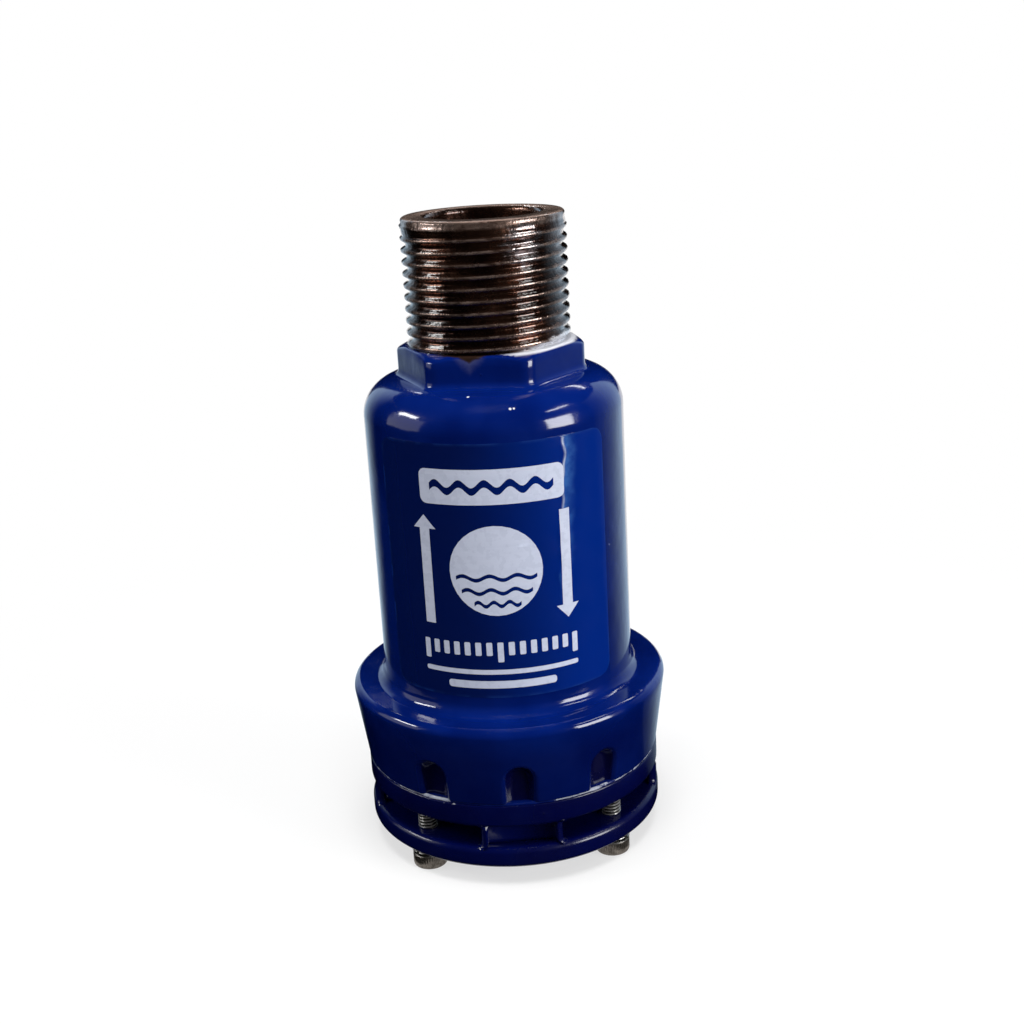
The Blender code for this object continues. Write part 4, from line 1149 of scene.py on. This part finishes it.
def crease_line(z):
    """Where the film's crease runs across the label at a height."""
    swing = 0.22 * MM * np.sin(z / (1.5 * MM)) + 0.15 * MM * np.sin(z / (0.7 * MM) + 1)
    return CREASE_PLACE + CREASE_LEAN * (z - CREASE_HIGH) + swing


def film_rise(across, z):
    """How far the film stands off the barrel: a crease and its small bubbles."""
    run = smooth_step(z, CREASE_LOW, CREASE_LOW + 6 * MM)
    run = run * smooth_step(z, CREASE_HIGH, CREASE_HIGH - 2 * MM)
    rise = CREASE_HEIGHT * np.exp(-(((across - crease_line(z)) / CREASE_WIDTH) ** 2)) * run
    rng = np.random.default_rng(11)
    for _ in range(BUBBLES):
        side = CREASE_PLACE + rng.uniform(-1.5, 3.0) * MM
        height = rng.uniform(CREASE_LOW, CREASE_HIGH)
        size = rng.uniform(0.5, 1.2) * MM
        far = ((across - side) ** 2 + (z - height) ** 2) / size**2
        rise = rise + BUBBLE_HEIGHT * np.exp(-far)
    return rise


def on_barrel(across, z, lift):
    """Points on the barrel at distances across the label and heights, lifted off it."""
    radius = BARREL_RADIUS + lift + film_rise(across, z)
    angle = LABEL_MIDDLE + across / BARREL_RADIUS
    return np.stack((radius * np.cos(angle), radius * np.sin(angle), z), axis=-1)


def film_shares(across, z, half):
    """How much each point belongs to the film's edge with its painted highlight, its loose band and its
    fold.
    """
    margin = np.minimum(half - np.abs(across), np.minimum(z - LABEL_LOW, LABEL_HIGH - z))
    beside = across - crease_line(z)
    loose = smooth_step(beside, -0.1 * MM, 0.3 * MM) * smooth_step(beside, LOOSE_WIDTH, 0.6 * MM)
    loose = loose * smooth_step(z, CREASE_LOW - 4 * MM, CREASE_LOW + 14 * MM)
    fold = np.exp(-((beside / FOLD_WIDTH) ** 2))
    fold = fold * smooth_step(z, CREASE_LOW + 12 * MM, CREASE_HIGH - 8 * MM)
    return {"edge": 1 - smooth_step(margin, 0, LABEL_EDGE), "loose": loose, "fold": fold}


def make_film():
    """The clear label film, round-cornered, wrapped on the barrel."""
    z = np.linspace(LABEL_LOW, LABEL_HIGH, FILM_ROWS + 1)[:, None]
    into = np.clip(LABEL_CORNER - np.minimum(z - LABEL_LOW, LABEL_HIGH - z), 0, LABEL_CORNER)
    half = LABEL_HALF_WIDTH - (LABEL_CORNER - np.sqrt(LABEL_CORNER**2 - into**2))
    across = np.linspace(-1, 1, FILM_COLUMNS + 1)[None, :] * half
    z = np.broadcast_to(z, across.shape)
    points = on_barrel(across, z, LABEL_LIFT)
    mesh = new_mesh("label_film", points, grid_faces(FILM_ROWS + 1, FILM_COLUMNS + 1))
    for label, share in film_shares(across, z, half).items():
        values = mesh.attributes.new(label, "FLOAT", "POINT")
        values.data.foreach_set("value", share.ravel().astype(np.float32))
    mesh.materials.append(film_material())
    film = place("label_film", mesh)
    thicken(film, LABEL_THICKNESS, -1)
    sharpen(film)
    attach(film, "housing")


def bar(left, right, low, high, corner=0.5):
    """A bar with rounded corners, in millimetres on the label."""
    points = []
    corners = ((right, high, 0), (left, high, 90), (left, low, 180), (right, low, 270))
    for x, y, start in corners:
        cx = x - corner if x == right else x + corner
        cy = y - corner if y == high else y + corner
        points += arc(cx, cy, corner, start, start + 90, 5)
    return points


def disc(x, y, radius):
    return arc(x, y, radius, 0, 360, 36)[:-1]


def arrow(x, low, high, width, head):
    """An upright arrow; its point is at the high end, which may lie below the low one."""
    neck = high - math.copysign(head * 1.1, high - low)
    half = width / 2
    shaft = [(x - half, low), (x + half, low), (x + half, neck)]
    return shaft + [(x + head, neck), (x, high), (x - head, neck), (x - half, neck)]


def wave(y, left, right, height, swing, count):
    """A level band whose both edges swing up and down."""
    turns = np.linspace(0, 2 * PI * count, 12 * count + 1)
    low = [(left + (right - left) * t / turns[-1], y + swing * math.sin(t)) for t in turns]
    return low + [(x, edge + height) for x, edge in reversed(low)]


def print_outlines():
    """A plain design: a float over water between two arrows, under a band and over a scale."""
    loops = [bar(-14.6, 14.4, 79.8, 86.8, 1.4), wave(82.5, -12.4, 12.2, 1.5, 0.8, 5)]
    loops.append(disc(0, 66.4, 9.2))
    for y, reach in ((64.6, 8.0), (61.8, 7.0), (59.2, 4.6)):
        loops.append(wave(y, -reach, reach, 0.8, 0.45, 3))
    loops += [arrow(-14.2, 55.0, 77.4, 2.2, 2.5), arrow(14.2, 77.4, 55.0, 2.2, 2.5)]
    for i in range(15):
        x = -15.4 + 2.2 * i
        loops.append(bar(x - 0.6, x + 0.6, 47.4 if i % 7 == 0 else 48.8, 51.6, 0.25))
    return loops + [bar(-16.0, 16.0, 44.8, 45.8, 0.4), bar(-11.0, 11.0, 41.8, 43.4, 0.6)]


def flat_print():
    """The outlines of the print filled as a flat mesh, holes left open."""
    curve = bpy.data.curves.new("label_print", "CURVE")
    curve.dimensions = "2D"
    curve.fill_mode = "BOTH"
    for loop in print_outlines():
        spline = curve.splines.new("POLY")
        spline.points.add(len(loop) - 1)
        for point, (x, y) in zip(spline.points, loop):
            point.co = (x * MM, y * MM, 0, 1)
        spline.use_cyclic_u = True
    flat = place("label_print_flat", curve)
    mesh = evaluated_mesh(flat)
    bpy.data.objects.remove(flat)
    return mesh


def wrap_print(mesh):
    """Cuts the flat print into narrow strips, most of them at the crease, and wraps it."""
    shape = bmesh.new()
    shape.from_mesh(mesh)
    bmesh.ops.remove_doubles(shape, verts=shape.verts, dist=1e-6)
    upright = list(range(-18, 11)) + [11 + 0.2 * i for i in range(30)] + [17, 18]
    for axis, steps in (((1, 0, 0), upright), ((0, 1, 0), range(42, 88))):
        for step in steps:
            everything = shape.verts[:] + shape.edges[:] + shape.faces[:]
            point = Vector(axis) * step * MM
            bmesh.ops.bisect_plane(shape, geom=everything, plane_co=point, plane_no=axis)
    bmesh.ops.recalc_face_normals(shape, faces=shape.faces)
    if sum(face.normal.z for face in shape.faces) < 0:
        bmesh.ops.reverse_faces(shape, faces=shape.faces)
    for vert in shape.verts:
        across, z = np.float64(vert.co.x), np.float64(vert.co.y)
        vert.co = Vector(on_barrel(across, z, LABEL_LIFT + PRINT_LIFT))
    shape.to_mesh(mesh)
    shape.free()


def print_normals(mesh):
    """Smooth normals straight out of the barrel, and straight in on the print's underside."""
    normals = []
    for x, y, z in [vert.co for vert in mesh.vertices]:
        outwards = Vector((x, y, 0)).normalized()
        across = (math.atan2(y, x) - LABEL_MIDDLE) * BARREL_RADIUS
        rise = float(film_rise(np.float64(across), np.float64(z)))
        middle = BARREL_RADIUS + LABEL_LIFT + PRINT_LIFT + rise
        normals.append(outwards if math.hypot(x, y) > middle else -outwards)
    mesh.normals_split_custom_set_from_vertices(normals)


def make_print():
    """The white print on the film."""
    mesh = flat_print()
    wrap_print(mesh)
    mesh.materials.clear()
    mesh.materials.append(ink_material())
    ink = place("label_print", mesh)
    thicken(ink, 2 * PRINT_LIFT, 0)
    print_normals(ink.data)
    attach(ink, "housing")


def dress_inner_nodes():
    """Finishes for the pieces inside, whose solids have the right shape."""
    brass = metal("turned brass", (0.42, 0.28, 0.11), (0.72, 0.53, 0.24), 0.5 * MM, 0.2, 0.38, (1, 1, 5))
    steel = metal("spring steel", (0.16, 0.15, 0.14), (0.42, 0.41, 0.39), 0.4 * MM, 0.25, 0.45)
    rubber = moulded("black rubber", (0.012, 0.012, 0.013), (0.022, 0.022, 0.022), 0.55, 0.75, 0.4 * MM)
    nylon = moulded("white nylon", (0.70, 0.69, 0.64), (0.80, 0.79, 0.75), 0.35, 0.5, 0.6 * MM)
    finishes = {"seat_ring": rubber, "retaining_ring": steel, "guide_bush": nylon, "float": nylon}
    brass_nodes = ["seat_retainer", "inlet_baffle", "float_stem", "stem_washer", "stem_nut"]
    brass_nodes += [f"retainer_screw_{i + 1}" for i in range(RETAINER_SCREWS)]
    finishes |= dict.fromkeys(brass_nodes, brass)
    for node, material in finishes.items():
        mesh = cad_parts[node].data
        mesh.materials.clear()
        mesh.materials.append(material)


# Camera: fitted to the photograph's rims and outlines
CAMERA_HEIGHT = 159.65 * MM
CAMERA_DISTANCE = 284.1 * MM
CAMERA_TURN = math.radians(-1.4)
CAMERA_YAW = math.radians(-0.52)
CAMERA_TILT = math.radians(72.45)
CAMERA_ROLL = math.radians(-3.23)


def make_camera():
    data = bpy.data.cameras.new("camera")
    data.lens = 50
    data.sensor_width = 36
    data.clip_start = 10 * MM
    camera = place("camera", data)
    aim = Matrix.Rotation(CAMERA_YAW, 4, "Z") @ Matrix.Rotation(CAMERA_TILT, 4, "X")
    stand = Matrix.Translation((0, -CAMERA_DISTANCE, CAMERA_HEIGHT))
    turn = Matrix.Rotation(CAMERA_TURN, 4, "Z")
    camera.matrix_world = turn @ stand @ aim @ Matrix.Rotation(CAMERA_ROLL, 4, "Z")
    bpy.context.scene.camera = camera


# Floor, world and cloths
WORLD_ON_OBJECT = 0.3
FLOOR_SIZE = 4.0
FLOOR_SEEN = (0.9, 0.9, 0.9)
FLOOR_ON_OBJECT = (0.12, 0.12, 0.12)
SHADOW_NEAR = 50 * MM
SHADOW_FAR = 220 * MM
SHADOW_GLOW = 0.62
CLOTH_RADIUS = 1.6
CLOTH_HEIGHT = 1.1
CLOTH_LIFT = 1 * MM
CLOTH_START = 31 * MM
CLOTH_TINT = (0.62, 0.82, 1.0, 1)
FRONT_CLOTH = (-126, 94)
BACK_CLOTH = (148, 200)
SIDE_CLOTHS = {"right": (94, 148, 0.06, 0.9), "left": (-160, -126, 0.9, 0.0)}


def seen_as_white(tree):
    """1 for the rays that show the background: to the camera, in metal and in glass."""
    path = tree.add("ShaderNodeLightPath").outputs
    seen = tree.math("ADD", path["Is Camera Ray"], path["Is Glossy Ray"], clamp=True)
    return tree.math("ADD", seen, path["Is Transmission Ray"], clamp=True)


def make_world():
    """White to the camera and in reflections, dimmer as light on the object."""
    world = bpy.data.worlds.new("studio")
    world.use_nodes = True
    bpy.context.scene.world = world
    tree = Tree(world.node_tree)
    background = tree.nodes["Background"]
    tree.set(background.inputs["Color"], (1, 1, 1, 1))
    strength = tree.remap(seen_as_white(tree), 0, 1, WORLD_ON_OBJECT, 1.0, soft=False)
    tree.set(background.inputs["Strength"], strength)


def make_floor():
    """A pale floor that reads white and keeps the valve's shadow."""
    floor = place("floor", bpy.data.meshes.new("floor"))
    shape = bmesh.new()
    bmesh.ops.create_grid(shape, x_segments=1, y_segments=1, size=FLOOR_SIZE)
    shape.to_mesh(floor.data)
    shape.free()
    material, tree = new_material("floor paper")
    seen = seen_as_white(tree)
    far = tree.remap(tree.radius, SHADOW_NEAR, SHADOW_FAR, SHADOW_GLOW, 1.0)
    tree.dress({"Base Color": tree.mix(seen, FLOOR_ON_OBJECT, FLOOR_SEEN), "Roughness": 0.9})
    paper = tree.nodes["Principled BSDF"].outputs[0]
    glow = tree.add("ShaderNodeEmission", ((1, 1, 1, 1), 1.0)).outputs[0]
    blend = tree.add("ShaderNodeMixShader", (tree.times(seen, far), paper, glow)).outputs[0]
    tree.set(tree.nodes["Material Output"].inputs[0], blend)
    floor.data.materials.append(material)


def cloth(name, rows, start, end, first=0.0, last=0.0):
    """A cloth between two azimuths, counted from the camera's side, that only reflections see.

    It glows as if lit, from the first value at its start to the last at its end; 0 is black.
    """
    material, tree = new_material(name)
    turn = tree.math("ARCTAN2", tree.x, tree.times(tree.y, -1.0))
    glow = tree.remap(turn, math.radians(start), math.radians(end), first, last)
    tree.dress({"Base Color": (0, 0, 0, 1), "Specular IOR Level": 0.0})
    tree.dress({"Emission Color": CLOTH_TINT, "Emission Strength": glow})
    angles = np.radians(np.linspace(start - 90, end - 90, 33))
    screen = place(name, skin(name, rows, angles, whole=False))
    screen.data.materials.append(material)
    screen.visible_camera = False
    screen.visible_diffuse = False
    screen.visible_shadow = False


def make_screens():
    """Black cloth in front, above and behind, and grey-blue cloth between them at the sides.

    The floor behind the valve stays open, and lights the very edges of its sides.
    """
    wall = [(CLOTH_RADIUS, CLOTH_LIFT), (CLOTH_RADIUS, CLOTH_HEIGHT)]
    ground = [(CLOTH_START, CLOTH_LIFT), (CLOTH_RADIUS, CLOTH_LIFT)]
    ceiling = [(CLOTH_RADIUS, CLOTH_HEIGHT), (CLOTH_RADIUS, CLOTH_RADIUS), (0, CLOTH_RADIUS)]
    cloth("black_ceiling", ceiling, -180, 180)
    cloth("black_wall_front", wall, *FRONT_CLOTH)
    cloth("black_wall_back", wall, *BACK_CLOTH)
    cloth("black_ground", ground, *FRONT_CLOTH)
    for side, span in SIDE_CLOTHS.items():
        cloth(f"grey_wall_{side}", wall, *span)
        cloth(f"grey_ground_{side}", ground, *span)


# Lamps: azimuth from the camera's side, elevation, distance, width, height, power
LAMPS = {
    "right_window": (57, 10, 1.0, 0.46, 0.46, 6.4),
    "right_strip": (68, 43, 1.0, 0.36, 0.05, 0.6),
    "left_window": (-88, 14, 1.0, 0.70, 0.50, 0.8),
    "left_strip": (-90, 31, 1.0, 0.34, 0.10, 1.8),
    "back_right_strip": (146, 41, 1.0, 0.30, 0.04, 0.25),
    "back_left_strip": (-171, 34, 1.0, 0.12, 0.06, 0.2),
    "top_softbox": (0, 78, 1.2, 0.5, 0.5, 11.5),
}


def softbox(name, azimuth, elevation, distance, width, height, power):
    """An area lamp aimed at the valve's middle."""
    data = bpy.data.lights.new(name, "AREA")
    data.shape = "RECTANGLE"
    data.size = width
    data.size_y = height
    data.energy = power
    lamp = place(name, data)
    a, e = math.radians(azimuth), math.radians(elevation)
    back = Vector((math.sin(a) * math.cos(e), -math.cos(a) * math.cos(e), math.sin(e)))
    lamp.location = back * distance + Vector((0, 0, Z_RIM / 2))
    lamp.rotation_mode = "QUATERNION"
    lamp.rotation_quaternion = back.to_track_quat("Z", "Y")
    return lamp


def make_lamps():
    """All the lamps; reflections show each but the one on top."""
    for name, sizes in LAMPS.items():
        softbox(name, *sizes).visible_glossy = name != "top_softbox"


make_camera()
thread = thread_tree()
ring = ring_tree()
make_body()
make_stub(thread)
make_cover(ring)
make_gasket()
make_screws(thread, ring)
make_washers(ring)
make_film()
make_print()
dress_inner_nodes()
make_world()
make_floor()
make_screens()
make_lamps()
bpy.context.scene.view_settings.view_transform = "Standard"

bpy.context.view_layer.update()
